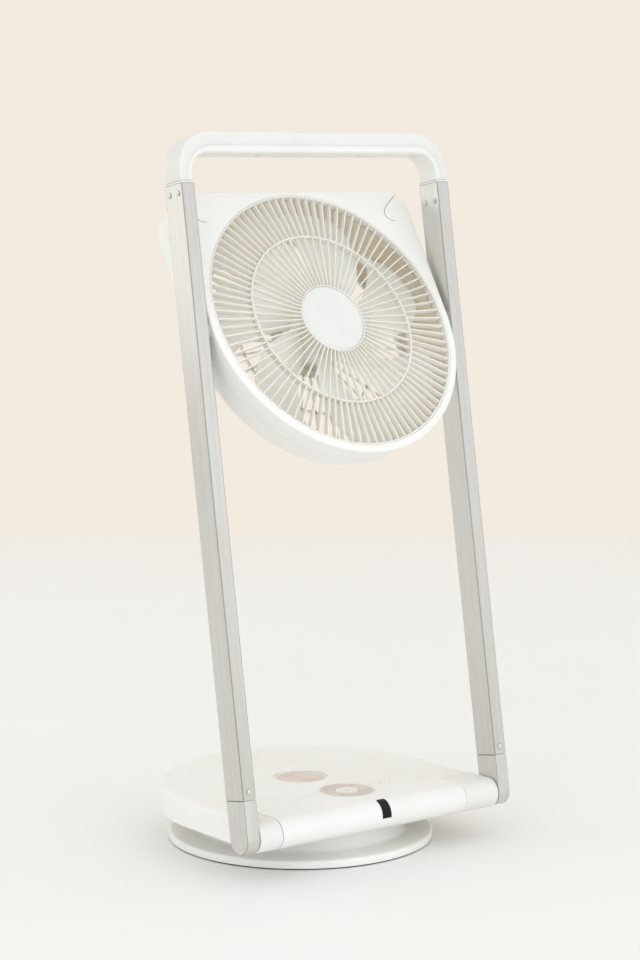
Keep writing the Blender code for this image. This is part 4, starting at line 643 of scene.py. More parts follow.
def makeTurntable():
    # Closed profiles of (radius, height, rounding), spun about the swivel's axis
    t = turntable
    rimTop = t["under"] + t["rim"]
    inside, discBottom = t["neck"] - t["wall"], t["top"] - t["disc"]
    edge, thin = t["edge"], t["thinEdge"]
    corners = [
        (t["coverEdge"], t["under"], thin),
        (t["lipRadius"], t["under"], 0.0001),
        (t["lipRadius"], t["lip"], 0.0004),
        (t["radius"], t["lip"], t["roundness"]),
        (t["radius"], rimTop, t["roundness"]),
        (t["neck"], rimTop + t["slope"], t["fillet"]),
        (t["neck"], t["top"], 0.001),
        (t["hub"], t["top"], edge),
        (t["hub"], t["hubTop"], edge),
        (t["bore"], t["hubTop"], edge),
        (t["bore"], discBottom, edge),
        (inside, discBottom, 0.001),
        (inside, t["seat"], thin),
        (t["coverEdge"], t["seat"], thin),
    ]
    plate = spunShape(softOutline(corners, 8), t["steps"])
    piece("turntablePlate", plate, "plateWhite", "stand", "warm_white_plastic", ["turntable_plate"])
    inner, outer, top = t["footInner"], t["footOuter"], t["footTop"]
    foot = [(inner, 0, 0.0005), (outer, 0, 0.0007), (outer, top, thin), (inner, top, thin)]
    ring = spunShape(softOutline(foot, 4), t["steps"])
    piece("footRing", ring, "rubber", "stand", "dark_rubber", ["foot_ring"])


makeTurntable()
print("turntable made")

# The base: one cover with its openings, the two caps of its barrel, and what sits in its top
base = dict(
    fillet=0.006, wall=0.0022, planSteps=120, barrelSteps=72, hollowSteps=60, roof=0.0651, panTop=0.040, pan=0.0125,
    lift=0.0002, edge=0.0008, far=0.3, below=-0.1, holeFrom=0.062, holeSteps=120, controlHole=0.0318, dock=0.0308,
    inlet=0.0042, inletZ=0.0458, inletFrom=0.1, inletTo=0.2, capEdge=0.0013, capBore=0.0063, capLead=0.002,
    capTail=0.004, windowX=0.004, windowRound=0.0028,
    slot=dict(depth=0.0025, half=0.0062, proud=0.0008, low=-7, high=79),
    pane=dict(depth=0.0016, half=0.006, proud=0.0, low=-6, high=78),
)


def planOutline(inset, front):
    # Straight sides from the front to a half circle at the rear
    half = layout["baseHalf"] - inset
    rear = arcPoints((0, layout["baseDepth"] / 2 - layout["baseHalf"]), half, 0, 180, base["planSteps"])
    return np.concatenate([[(half, front)], rear, [(-half, front)]])


def barrelOutline(end, lift=0.0):
    # Flat top, round front and flat bottom, as (y, z), back to y = end
    radius = layout["barrel"]
    middle = (layout["hingeY"], layout["hingeZ"])
    high = math.degrees(math.asin(min((layout["baseTop"] - middle[1]) / radius, 1)))
    low = math.degrees(math.asin(min((middle[1] - layout["baseBottom"]) / radius, 1)))
    front = arcPoints(middle, radius, 180 - high, 360 - low, base["barrelSteps"])
    top = layout["baseTop"] + lift
    return np.concatenate([[(end, top)], [(front[0, 0], top)], front, [(end, layout["baseBottom"])]])


def alongX(outline, start, end):
    # An outline of (y, z) pulled along X
    return gridShape(np.stack([stoodAt(outline, x) for x in (start, end)]), capEnds=True)


def onX(points):
    # A spun shape's axis turned to lie along X through the hinge
    y = points[..., 0] + layout["hingeY"]
    return np.stack([points[..., 2], y, points[..., 1] + layout["hingeZ"]], axis=-1)


def atControl(points):
    # Moved to the touch ring's middle
    return points + np.array([0, layout["controlY"], 0])


def atInlet(points):
    # A spun shape's axis turned to lie along Y at the inlet's height
    return np.stack([points[..., 0], points[..., 2], points[..., 1] + base["inletZ"]], axis=-1)


def makeBaseCover():
    # The plan's outline goes in by r (1 - cos t) where it is r (1 - sin t) below the top
    b = base
    far = b["far"]
    turn = np.linspace(0, np.pi / 2, 11)
    inset = np.concatenate([[0, 0], b["fillet"] * (1 - np.cos(turn)), [b["fillet"] + 0.0006]])
    height = layout["baseTop"] - b["fillet"] * (1 - np.sin(turn))
    height = np.concatenate([[0.0, height[0] - 0.001], height, [layout["baseTop"]]])
    rows = [laidAt(planOutline(amount, -far), z) for amount, z in zip(inset, height)]
    block = gridShape(np.stack(rows), capEnds=True)
    side = alongX(barrelOutline(far, b["lift"]), -far, far)
    behind = layout["hingeY"] + layout["capBack"]
    notches = [
        boxShape((-far, -far, b["below"]), (layout["seamLeft"], behind, far)),
        boxShape((layout["seamRight"], -far, b["below"]), (far, behind, far)),
    ]
    # The room inside: the plan less its walls, with the barrel's narrower front
    half = layout["baseHalf"] - b["wall"]
    rear = arcPoints((0, layout["baseDepth"] / 2 - layout["baseHalf"]), half, 0, 180, b["hollowSteps"])
    left, right = layout["seamLeft"] + b["wall"], layout["seamRight"] - b["wall"]
    front, step = layout["hingeY"] + b["pan"], behind + b["wall"]
    rightSide, leftSide = [(right, front), (right, step), (half, step)], [(-half, step), (left, step), (left, front)]
    plan = np.concatenate([rightSide, rear, leftSide])
    hollow = gridShape(np.stack([laidAt(plan, z) for z in (0.0, b["roof"])]), capEnds=True)
    bore = moved(rodShape(layout["barrel"] - b["wall"], -far, far, 48), onX)
    forward = boxShape((left, layout["hingeY"], b["panTop"]), (right, front + b["wall"], b["roof"] - layout["gap"]))
    control = rodShape(b["controlHole"], b["holeFrom"], far, b["holeSteps"], atControl)
    dock = rodShape(b["dock"], b["holeFrom"], far, b["holeSteps"])
    inlet = rodShape(b["inlet"], b["inletFrom"], b["inletTo"], 40, atInlet)
    slot = windowShape(**b["slot"])
    cuts = [joined(notches), hollow, forward, bore, joined([control, dock]), inlet, slot]
    cover = carved("baseCover", block, cuts, [side])
    rounder(cover, b["edge"], 3, 42)
    dressed(cover, "warmWhite", "base", "warm_white_plastic", ["base_cover"], 38)


def windowShape(depth, half, proud, low, high):
    # A bent strip: points on arcs of two radii about the hinge, from angle low to high above the front
    # Its far end is rounded: the half width falls by r - sqrt(r^2 - d^2), d being how far in the rounding is
    share = np.concatenate([np.linspace(0, 0.82, 20), np.linspace(0.82, 1, 15)[1:]])
    turn = np.radians(180 - (low + (high - low) * share))[:, None]
    outer, inner = layout["barrel"] + proud, layout["barrel"] - depth
    section = np.array([(-1, inner), (1, inner), (1, outer), (-1, outer)])
    radius = section[None, :, 1]
    left = (1 - share) * math.radians(high - low) * layout["barrel"]
    curve = base["windowRound"]
    inside = np.clip(curve - left, 0, curve)
    halves = half - (curve - np.sqrt(curve**2 - inside**2))
    x = base["windowX"] + section[None, :, 0] * halves[:, None]
    y, z = layout["hingeY"] + radius * np.cos(turn), layout["hingeZ"] + radius * np.sin(turn)
    return gridShape(np.stack([x, y, z], axis=2), capEnds=True)


def makeEndCap(side, sign, seam):
    # The barrel's outline at both ends and the shaft's round bore in it, joined as one closed tube
    # Each rounded edge goes in by r (1 - sin t) where it is r (1 - cos t) from the end
    b = base
    outline = barrelOutline(layout["hingeY"] + layout["capBack"] - layout["gap"])
    outline = np.concatenate([outline[:1], outline[2:]])
    middle = np.array([layout["hingeY"], layout["hingeZ"]])
    edge = b["capEdge"]
    start, end = seam + sign * layout["gap"] * 2, sign * layout["baseHalf"]
    away = outline - middle
    bore = middle + away / np.linalg.norm(away, axis=1, keepdims=True) * b["capBore"]
    rows = [stoodAt(bore, start)]
    for k in range(5):
        turn = math.radians(22.5 * k)
        ring = drawnIn(outline, middle, edge * (1 - math.sin(turn)))
        rows.append(stoodAt(ring, start + sign * edge * (1 - math.cos(turn))))
    for x in (start + sign * b["capLead"], end - sign * b["capTail"]):
        rows.append(stoodAt(drawnIn(outline, middle, 0.0), x))
    for k in range(7):
        turn = math.radians(15 * k)
        ring = drawnIn(outline, middle, edge * (1 - math.cos(turn)))
        rows.append(stoodAt(ring, end - sign * edge * (1 - math.sin(turn))))
    rows.append(stoodAt(bore, end))
    cap = gridShape(np.stack(rows), wrapRows=True)
    piece("endCap" + side.title(), cap, "capWhiteShaded", "base", "warm_white_plastic", ["end_cap_" + side], 34)


# What sits in the base's top: radii and heights about the touch ring's middle
controls = dict(
    ringInner=0.0133, ringOuter=0.0315, ringBottom=0.0638, skirt=0.0335, skirtTop=0.0648,
    groove=(0.0240, 0.0236, 0.0232), grooveDeep=0.00025, surroundInner=0.0068, surroundOuter=0.0130,
    surroundBottom=0.0618, surroundDip=0.0002, button=0.0065, buttonBottom=0.0628, dish=0.0045, dishDeep=0.0003,
    middleDeep=0.00035, markRadius=0.0023, markLine=0.0006, markStart=120, markEnd=420, strokeStart=0.0009,
    strokeEnd=0.0030, markBottom=0.0006, markTop=0.00026, marksAt=0.0213, marksDeep=0.0004, marksRise=0.00004,
    ringSteps=128, buttonSteps=96,
)
# Generic marks pressed on the touch ring: the angle of each, and its bars as (x, y, width, height)
ringMarks = dict(
    plus=(40, ((0, 0, 0.0044, 0.0008), (0, 0.0014, 0.0008, 0.0018), (0, -0.0014, 0.0008, 0.0018))),
    minus=(140, ((0, 0, 0.0044, 0.0008),)),
    waves=(220, ((0, 0.0015, 0.0040, 0.0006), (0, 0, 0.0040, 0.0006), (0, -0.0015, 0.0040, 0.0006))),
    dots=(320, ((-0.0016, 0, 0.0009, 0.0009), (0, 0, 0.0009, 0.0009), (0.0016, 0, 0.0009, 0.0009))),
)
dashes = dict(
    y=-0.0785, start=0.0365, step=0.0068, count=5, length=0.0030, short=0.55, width=0.0009, deep=0.0004, rise=0.00006
)


def makeTouchRing():
    # A flat ring on a wider skirt under the cover, with a fine groove round its top
    c = controls
    top = layout["baseTop"] + layout["gap"]
    ring = [
        (c["ringInner"], c["ringBottom"], 0.0002),
        (c["skirt"], c["ringBottom"], 0.0002),
        (c["skirt"], c["skirtTop"], 0.0002),
        (c["ringOuter"], c["skirtTop"], 0.0001),
        (c["ringOuter"], top, 0.0005),
        (c["groove"][0], top, 0.0),
        (c["groove"][1], top - c["grooveDeep"], 0.00015),
        (c["groove"][2], top, 0.0),
        (c["ringInner"], top, 0.0004),
    ]
    shape = spunShape(softOutline(ring, 4), c["ringSteps"], atControl)
    piece("controlRing", shape, "ring", "touch_ring", "rose_silver", ["control_ring"], 28)


def makeButton():
    c = controls
    top = layout["baseTop"] + layout["gap"]
    inner, outer, low = c["surroundInner"], c["surroundOuter"], c["surroundBottom"]
    surround = [(inner, low, 0.0002), (outer, low, 0.0002), (outer, top, 0.0004)]
    surround.append((inner, top - c["surroundDip"], 0.0005))
    shape = spunShape(softOutline(surround, 4), c["buttonSteps"], atControl)
    piece("buttonSurround", shape, "capWhiteShaded", "base", "warm_white_plastic", ["button_surround"], 28)
    button = [
        (0, c["buttonBottom"], 0),
        (c["button"], c["buttonBottom"], 0.0002),
        (c["button"], top, 0.0007),
        (c["dish"], top - c["dishDeep"], 0.001),
        (0, top - c["middleDeep"], 0),
    ]
    shape = spunShape(softOutline(button, 5), c["buttonSteps"], atControl)
    piece("powerButton", shape, "capWhiteShaded", "button", "rose_silver", ["power_button"], 28)
    # Its mark: three quarters of a ring and more, and a stroke in the gap
    low, high = top - c["markBottom"], top - c["markTop"]
    middle, half = layout["controlY"], c["markLine"] / 2
    arc = arcBar((0, middle), c["markRadius"], c["markLine"], c["markStart"], c["markEnd"], low, high)
    stroke = boxShape((-half, middle + c["strokeStart"], low), (half, middle + c["strokeEnd"], high))
    piece("powerMark", joined([arc, stroke]), "printAndShadowGrey", "button", "rose_silver")


def makeRingMarks():
    # A mark at angle t has its middle at (r cos t, r sin t) from the ring's own
    c = controls
    top = layout["baseTop"] + layout["gap"]
    bars = []
    for turn, mark in ringMarks.values():
        turn = math.radians(turn)
        u, v = c["marksAt"] * math.cos(turn), c["marksAt"] * math.sin(turn) + layout["controlY"]
        for dx, dy, wide, tall in mark:
            bars.append(barShape(u + dx, v + dy, wide, tall, top - c["marksDeep"], top + c["marksRise"]))
    piece("ringMarks", joined(bars), "printAndShadowGrey", "touch_ring", "rose_silver")


def makeDashes():
    # A row to each side of the ring, where every second dash is short
    d = dashes
    low, high = layout["baseTop"] - d["deep"], layout["baseTop"] + d["rise"]
    bars = []
    for sign in (-1, 1):
        for k in range(d["count"]):
            length = d["length"] * (1.0 if k % 2 == 0 else d["short"])
            bars.append(barShape(sign * (d["start"] + d["step"] * k), d["y"], length, d["width"], low, high))
    piece("indicatorDashes", joined(bars), "printAndShadowGrey", "base", "warm_white_plastic")


makeBaseCover()
makeEndCap("left", -1, layout["seamLeft"])
makeEndCap("right", 1, layout["seamRight"])
makeTouchRing()
makeButton()
piece("receiverWindow", windowShape(**base["pane"]), "window", "base", "dark_window", ["receiver_window"], 40)
makeRingMarks()
makeDashes()
print("base made")

# The folding frame: two anodised rails on cast feet, their screws, and the handle
rails = dict(
    arm=0.041, top=0.682, corner=0.0009, wall=0.0016, ease=0.0001, rounding=0.0010, footMiddle=0.012, tenonGap=0.0003,
    tenonCorner=0.0005, tenonStart=0.004, tenon=0.066, screwAlong=0.0497, outerRow=0.6722, innerRow=0.6616,
    rowOff=0.008, headRadius=0.0026, headRise=0.0007, stem=0.0015, recess=0.0012, footStem=0.0055, sideStem=0.0081,
    # These size the dark rings of painted shadow round the screw heads
    shadowRadius=0.0031, shadowWidth=0.00045, shadowLow=-0.0002, shadowHigh=0.00005,
)


def railMiddle(sign):
    # Halfway between the rail's two wide faces
    return sign * (layout["railOuter"] + layout["railInner"]) / 2


def railSection(grow, corner, centre):
    # A rectangle of the rail's width and depth, grown on all sides, with rounded corners
    half = (layout["railOuter"] - layout["railInner"]) / 2 + grow
    deep = layout["railDepth"] / 2 + grow
    corners = [(centre + half, deep), (centre - half, deep), (centre - half, -deep), (centre + half, -deep)]
    return softOutline([(u, v, corner) for u, v in corners], 5)


def edgeMark(section):
    # 1 on the rounding of a corner, where the rails are darkened as painted shade, 0 on the flats
    centre = section.mean(axis=0)
    away = np.abs(section - centre)
    limit = away.max(axis=0)
    near = np.maximum(limit - away, 0).sum(axis=1)
    return (near < rails["rounding"]).astype(float)


def makeRail(side, sign):
    # A tube: the outer section up its outside and the inner one down its bore, its ends eased
    r = rails
    centre = railMiddle(sign)
    outer = railSection(0, r["corner"], centre)
    inner = railSection(-r["wall"], r["corner"] / 2, centre)
    low, high, ease = r["arm"] + 0.0002, r["top"], r["ease"]
    levels = [(outer, low, -ease), (outer, r["arm"] + 0.0004, 0), (outer, high - 0.0002, 0)]
    levels += [(outer, high, -ease), (inner, high, 0), (inner, low, 0)]
    rows, marks = [], []
    for section, level, spread in levels:
        middle = section.mean(axis=0)
        rows.append(laidAt(section + np.sign(section - middle) * spread, level))
        marks.append(edgeMark(section))
    tube = moved(gridShape(np.stack(rows), wrapRows=True), alongFrame)
    slot, marks = "champagne_aluminium", {"edge": np.stack(marks)}
    piece("rail" + side.title(), tube, "rail", "folding_frame", slot, ["rail_" + side], 30, marks)


def makeFoot(side, sign):
    # A half-round end below a flat top, every edge eased, and the tenon that the rail slides on
    # The outline goes in by r (1 - cos t) where it is r (1 - sin t) from the face
    r = rails
    half, top, edge = layout["railDepth"] / 2, r["arm"] - 0.0003, r["corner"]
    below = r["arm"] - 0.0005
    bend = arcPoints((0, 0), half, 180, 360, 48)
    outline = np.concatenate([bend, [(half, below), (half, top)], [(-half, top), (-half, below)]])
    middle = np.array([0, r["footMiddle"]])
    inner, outer = sign * layout["railInner"], sign * layout["railOuter"]
    turns = np.radians(np.linspace(0, 90, 6))
    levels = [(inner, edge + 0.0006)]
    levels += [(inner + sign * edge * (1 - math.sin(turn)), edge * (1 - math.cos(turn))) for turn in turns[::-1]]
    levels += [(outer - sign * edge * (1 - math.sin(turn)), edge * (1 - math.cos(turn))) for turn in turns]
    levels += [(outer, edge + 0.0006)]
    rows = [stoodAt(drawnIn(outline, middle, amount), x) for x, amount in levels]
    # The foot's eased edges take the same painted shade
    eased = [1.0 if 0.00001 < amount < edge * 0.9 else 0.0 for x, amount in levels]
    foot = moved(gridShape(np.stack(rows), capEnds=True), alongFrame)
    block = railSection(-r["wall"] - r["tenonGap"], r["tenonCorner"], railMiddle(sign))
    tenon = np.stack([laidAt(block, z) for z in (r["arm"] - r["tenonStart"], r["tenon"])])
    tenon = moved(gridShape(tenon, capEnds=True), alongFrame)
    marks = np.concatenate([np.repeat(eased, len(outline)), np.zeros(len(tenon[0]))])
    slot, shape = "champagne_aluminium", joined([foot, tenon])
    piece("foot" + side.title(), shape, "rail", "folding_frame", slot, ["hinge_arm_" + side], 30, {"edge": marks})


def screwShape(length, place):
    # A pan head as a height field on polar points: a dome less a cross, |u| or |v| under a fifth of its reach
    radius, rise, stem, recess = (rails[key] for key in ("headRadius", "headRise", "stem", "recess"))
    turn = np.linspace(0, 2 * np.pi, 48, endpoint=False)[:, None]
    share = np.array([0, 0.12, 0.22, 0.30, 0.38, 0.46, 0.54, 0.64, 0.76, 0.88, 0.96, 1.0])[None]
    u, v = radius * share * np.cos(turn), radius * share * np.sin(turn)
    dome = rise * (1 - 0.45 * share**4)
    cross = (np.minimum(np.abs(u), np.abs(v)) < recess / 5) & (np.hypot(u, v) < recess)
    head = np.stack([u, v, dome - cross * rise * 0.75 + 0 * turn], axis=2)
    skirt = np.array([(radius, rise * 0.3), (radius, 0.0), (stem, 0.0), (stem, -length), (0, -length)])
    reach, level = skirt[None, :, 0], skirt[None, :, 1]
    bottom = np.stack([reach * np.cos(turn), reach * np.sin(turn), level + 0 * turn], axis=2)
    grid = np.concatenate([head, bottom], axis=1)
    return gridShape(place(grid), wrapRows=True, wrapColumns=False)


def shadowRingShape(place):
    # A flat dark ring spun just proud of the face round a screw's head: a painted shadow where the head meets the
    # rail
    low, high, outer = rails["shadowLow"], rails["shadowHigh"], rails["shadowRadius"]
    inner = outer - rails["shadowWidth"]
    return spunShape(np.array([(inner, low), (outer, low), (outer, high), (inner, high)]), 32, place)


def makeScrews():
    r = rails
    shadowRings = []
    down = np.array([0, 0, layout["gap"]])
    outerFace, innerFace = layout["railOuter"] + layout["gap"], layout["railInner"] - layout["gap"]
    for side, sign in (("left", -1), ("right", 1)):
        centre = railMiddle(sign)
        front = -layout["railDepth"] / 2 - layout["gap"]

        def onFront(grid):
            # The head looks forward, out of the rail's narrow face
            points = np.stack([centre + grid[..., 0], front - grid[..., 2], r["screwAlong"] + grid[..., 1]], axis=-1)
            return alongFrame(points)

        shadowRings.append(shadowRingShape(lambda grid: onFront(grid - down)))
        shape = screwShape(r["footStem"], onFront)
        piece("footScrew" + side.title(), shape, "screw", "folding_frame", "bright_steel", ["arm_screw_" + side], 28)
        for row, off in (("front", -r["rowOff"]), ("rear", r["rowOff"])):
            heads = []
            for face, way, along in ((outerFace, 1, r["outerRow"]), (innerFace, -1, r["innerRow"])):

                def onSide(grid, face=face, way=way, along=along):
                    # The head looks out of one of the rail's wide faces
                    x = sign * (face + way * grid[..., 2])
                    return alongFrame(np.stack([x, off + grid[..., 0], along + grid[..., 1]], axis=-1))

                shadowRings.append(shadowRingShape(lambda grid: onSide(grid - down)))
                heads.append(screwShape(r["sideStem"], onSide))
            name, node = "railScrew" + side.title() + row.title(), "rail_screw_" + side + "_" + row
            piece(name, joined(heads), "screw", "folding_frame", "bright_steel", [node], 28)
    # The dark rings round the screw heads are painted shadow
    piece("screwShadowRings", joined(shadowRings), "seat", "folding_frame", "champagne_aluminium")


for side, sign in (("left", -1), ("right", 1)):
    makeRail(side, sign)
    makeFoot(side, sign)
makeScrews()
print("rails made")

handle = dict(
    top=0.737, parting=0.722, under=0.7135, bottom=0.685, legParting=0.171, outerRadius=0.042, partingRadius=0.034,
    innerRadius=0.020, outerEdge=0.0034, gripEdge=0.0082, mouthEdge=0.00012, arcSteps=28, seam=0.00004,
    collar=0.0024, collarEase=0.0004, collarCorner=0.0014, collarIn=-0.0002, collarBore=-0.0022, boreCorner=0.0005,
    proud=0.0003, screws=(-0.147, -0.0675, 0.0675, 0.147), screwRadius=0.0033, screwDeep=0.0040, screwFrom=0.694,
)


def handleCurve(half, top, radius, bottom):
    # Up one leg, round a corner, along the bar and down the other leg, with the same count of points on each curve
    steps = handle["arcSteps"]
    leg = np.linspace(bottom, top - radius, 5)[:-1]
    left = arcPoints((-half + radius, top - radius), radius, 180, 90, steps)
    right = arcPoints((half - radius, top - radius), radius, 90, 0, steps)
    bar = np.column_stack([np.linspace(-half + radius, half - radius, 13)[1:-1], np.full(11, top)])
    up = np.column_stack([np.full(4, -half), leg])
    down = np.column_stack([np.full(4, half), leg[::-1]])
    return np.concatenate([up, left, bar, right, down])


def channelShape(far, near, edge):
    # At each pair of points, a section whose back on the far curve is rounded and whose mouth is on the near one
    span = near - far
    length = np.linalg.norm(span, axis=1)
    towards = span / length[:, None]
    deep, lip = layout["railDepth"] / 2, handle["mouthEdge"]
    rows = []
    for start, way, mouth in zip(far, towards, length):
        radius = min(edge, mouth * 0.72)
        section = softOutline([(mouth, -deep, lip), (0, -deep, radius), (0, deep, radius), (mouth, deep, lip)], 9)
        run = section[:, 0]
        rows.append(np.stack([start[0] + way[0] * run, section[:, 1], start[1] + way[1] * run], axis=1))
    return gridShape(np.stack(rows), capEnds=True)


def makeHandle():
    # Two channels along the same arch, mouth to mouth, and the wells of the screws cut into the lower one
    h = handle
    leg, parting, radius, bottom = h["legParting"], h["parting"], h["partingRadius"], h["bottom"]
    outer = handleCurve(layout["railOuter"], h["top"], h["outerRadius"], bottom)
    above = handleCurve(leg, parting, radius, bottom)
    below = handleCurve(leg - h["seam"], parting - h["seam"], radius - h["seam"], bottom)
    inner = handleCurve(layout["railInner"], h["under"], h["innerRadius"], bottom)
    shell = moved(channelShape(outer, above, h["outerEdge"]), alongFrame)
    piece("handleShell", shell, "handleWhiteShaded", "folding_frame", "warm_white_plastic", ["handle_shell"], 40)
    grip = moved(channelShape(inner, below, h["gripEdge"]), alongFrame)
    wells = []
    for x in h["screws"]:
        aside = lambda points, x=x: alongFrame(points + np.array([x, 0, 0]))
        wells.append(rodShape(h["screwRadius"], h["screwFrom"], h["under"] + h["screwDeep"], 32, aside))
    made = carved("handleGrip", grip, [joined(wells)])
    dressed(made, "gripWhiteLit", "folding_frame", "warm_white_plastic", ["handle_grip"], 40)


def makeCollar(side, sign):
    # Sections of the rail grown and shrunk from level to level: a band with eased edges and a bore
    h = handle
    low = rails["top"] + layout["gap"]
    high, ease = low + h["collar"], h["collarEase"]
    band = [(h["collarIn"], low), (h["proud"], low + ease), (h["proud"], high - ease), (h["collarIn"], high)]
    rows = [laidAt(railSection(grow, h["collarCorner"], railMiddle(sign)), level) for grow, level in band]
    bore = railSection(h["collarBore"], h["boreCorner"], railMiddle(sign))
    rows += [laidAt(bore, high), laidAt(bore, low)]
    ring = moved(gridShape(np.stack(rows), wrapRows=True), alongFrame)
    node = "handle_collar_" + side
    piece("collar" + side.title(), ring, "capWhiteShaded", "folding_frame", "warm_white_plastic", [node], 34)


makeHandle()
makeCollar("left", -1)
makeCollar("right", 1)
print("handle made")

# The head: its two shells, its corner grooves, its bosses, both grilles, the cap and the fan
head = dict(
    radius=0.160, top=0.157, corner=0.0275, front=-0.0165, back=0.0455, seam=0.012, seamHalf=0.00015, taper=0.0075,
    taperFrom=0.003, frontEdge=0.0024, backEdge=0.018, wall=0.0024, opening=0.1516, rearOpening=0.1306, lip=0.0003,
    grooveWidth=0.0009, grooveDeep=0.00007,
)
# Points that the corner grooves run through, as (across, up) from the pivot
grooves = dict(
    right=[
        (0.1492, 0.1535), (0.1372, 0.1435), (0.1247, 0.1320), (0.1236, 0.1240), (0.1285, 0.1192), (0.1365, 0.1190),
    ],
    left=[(-0.1535, 0.1492), (-0.1420, 0.1365), (-0.1340, 0.1262), (-0.1290, 0.1210), (-0.1175, 0.1197)],
)
# The wall round the blades, as (radius, depth, rounding)
duct = [
    (0.1492, -0.0080, 0), (0.1508, -0.0080, 0), (0.1508, 0.0222, 0.02), (0.1332, 0.0428, 0), (0.1318, 0.0425, 0),
    (0.1492, 0.0215, 0.02),
]


def headTurns():
    # The angles of an outline's points, closer together round the upper corners
    h = head
    side = math.degrees(math.atan2(h["top"] - h["corner"], h["radius"]))
    top = math.degrees(math.atan2(h["top"], h["radius"] - h["corner"]))
    spans = ((0, side, 24), (side, top, 22), (top, 180 - top, 48))
    spans += ((180 - top, 180 - side, 22), (180 - side, 180, 24), (180, 360, 128))
    turns = [np.linspace(low, high, steps, endpoint=False) for low, high, steps in spans]
    return np.radians(np.concatenate(turns))


def headOutline(inset):
    # Distance from the pivot at angle t: the radius below, then the side, the corner's arc and the top
    h = head
    turn = headTurns()
    c, s = np.cos(turn), np.sin(turn)
    radius, top = h["radius"] - inset, h["top"] - inset
    corner = max(h["corner"] - inset, h["frontEdge"])
    across, up = radius - corner, top - corner
    flat = np.where(np.abs(c) > 1e-9, radius / np.maximum(np.abs(c), 1e-9), 9.0)
    lid = np.where(s > 1e-9, top / np.maximum(s, 1e-9), 9.0)
    along = across * np.abs(c) + up * s
    bend = along + np.sqrt(np.maximum(along**2 - (across**2 + up**2 - corner**2), 0))
    reach = np.where(flat * s <= up, flat, np.where(lid * np.abs(c) <= across, lid, bend))
    reach = np.where(s <= 0, radius, reach)
    return np.stack([reach * c, reach * s], axis=1)


def headCircle(radius):
    # A circle with its points at the outline's angles
    turn = headTurns()
    return np.stack([radius * np.cos(turn), radius * np.sin(turn)], axis=1)


def headDrawIn(depth):
    # How far the side has gone in at a depth: it slants from behind the front edge to the back one
    h = head
    start = h["front"] + h["taperFrom"]
    return h["taper"] * (depth - start) / (h["back"] - h["backEdge"] - start)


def ringsToShape(rings):
    # Outlines of (x, z), each at its depth, as one closed tube in the head's place
    rows = [np.stack([ring[:, 0], np.full(len(ring), depth), ring[:, 1]], axis=1) for ring, depth in rings]
    return moved(gridShape(np.stack(rows), wrapRows=True), alongHead)


def grooveShape(points, width, deep):
    # A narrow round-backed strip along a smooth curve through the points, lying in the head's front plane
    points = np.array(points, float)
    t = np.arange(len(points))
    fine = np.linspace(0, len(points) - 1, 48)
    coefficients = [np.polyfit(t, points[:, k], len(points) - 1) for k in (0, 1)]
    path = np.stack([np.polyval(c, fine) for c in coefficients], axis=1)
    ahead = np.gradient(path, axis=0)
    ahead /= np.linalg.norm(ahead, axis=1, keepdims=True)
    side = np.stack([-ahead[:, 1], ahead[:, 0]], axis=1)
    share = np.clip(np.minimum(np.arange(48), 47 - np.arange(48)) / 6, 0.25, 1)[:, None]
    turn = np.linspace(0, 2 * np.pi, 10, endpoint=False)
    across = np.cos(turn)[None] * width / 2 * share
    out = np.sin(turn)[None] * deep
    x = path[:, :1] + side[:, :1] * across
    z = path[:, 1:] + side[:, 1:] * across
    grid = np.stack([x, head["front"] + out + 0 * across, z], axis=2)
    return gridShape(grid, capEnds=True)


def makeFrontShell():
    # From the opening's edge over the front and down the sides to the seam, then back along the inside
    h = head
    front, edge, opening = h["front"], h["frontEdge"], h["opening"]
    rings = [(headCircle(opening), front + 0.0005), (headCircle(opening + h["lip"]), front)]
    rings.append((headOutline(edge + 0.0006), front))
    for turn in np.radians(np.linspace(0, 90, 10)):
        rings.append((headOutline(edge * (1 - math.sin(turn))), front + edge * (1 - math.cos(turn))))
    seam = h["seam"] - h["seamHalf"]
    rings.append((headOutline(headDrawIn(0.0)), 0.0))
    for back, extra in ((0.0015, 0.0), (0.0005, 0.0), (0.0002, 0.0001), (0.0, 0.0004)):
        rings.append((headOutline(headDrawIn(seam - back) + extra), seam - back))
    rings.append((headOutline(headDrawIn(seam) + h["wall"]), seam))
    rings.append((headOutline(edge + h["wall"]), front + h["wall"]))
    rings.append((headCircle(opening), front + h["wall"]))
    piece("headFrontShell", ringsToShape(rings), "warmWhite", "head", "warm_white_plastic", ["head_front_shell"], 34)


def makeGrooves():
    # A grey strip at each upper corner of the head's front: painted shade standing for the groove
    strips = [grooveShape(points, head["grooveWidth"], head["grooveDeep"]) for points in grooves.values()]
    piece("cornerGrooves", moved(joined(strips), alongHead), "printAndShadowGrey", "head", "warm_white_plastic")


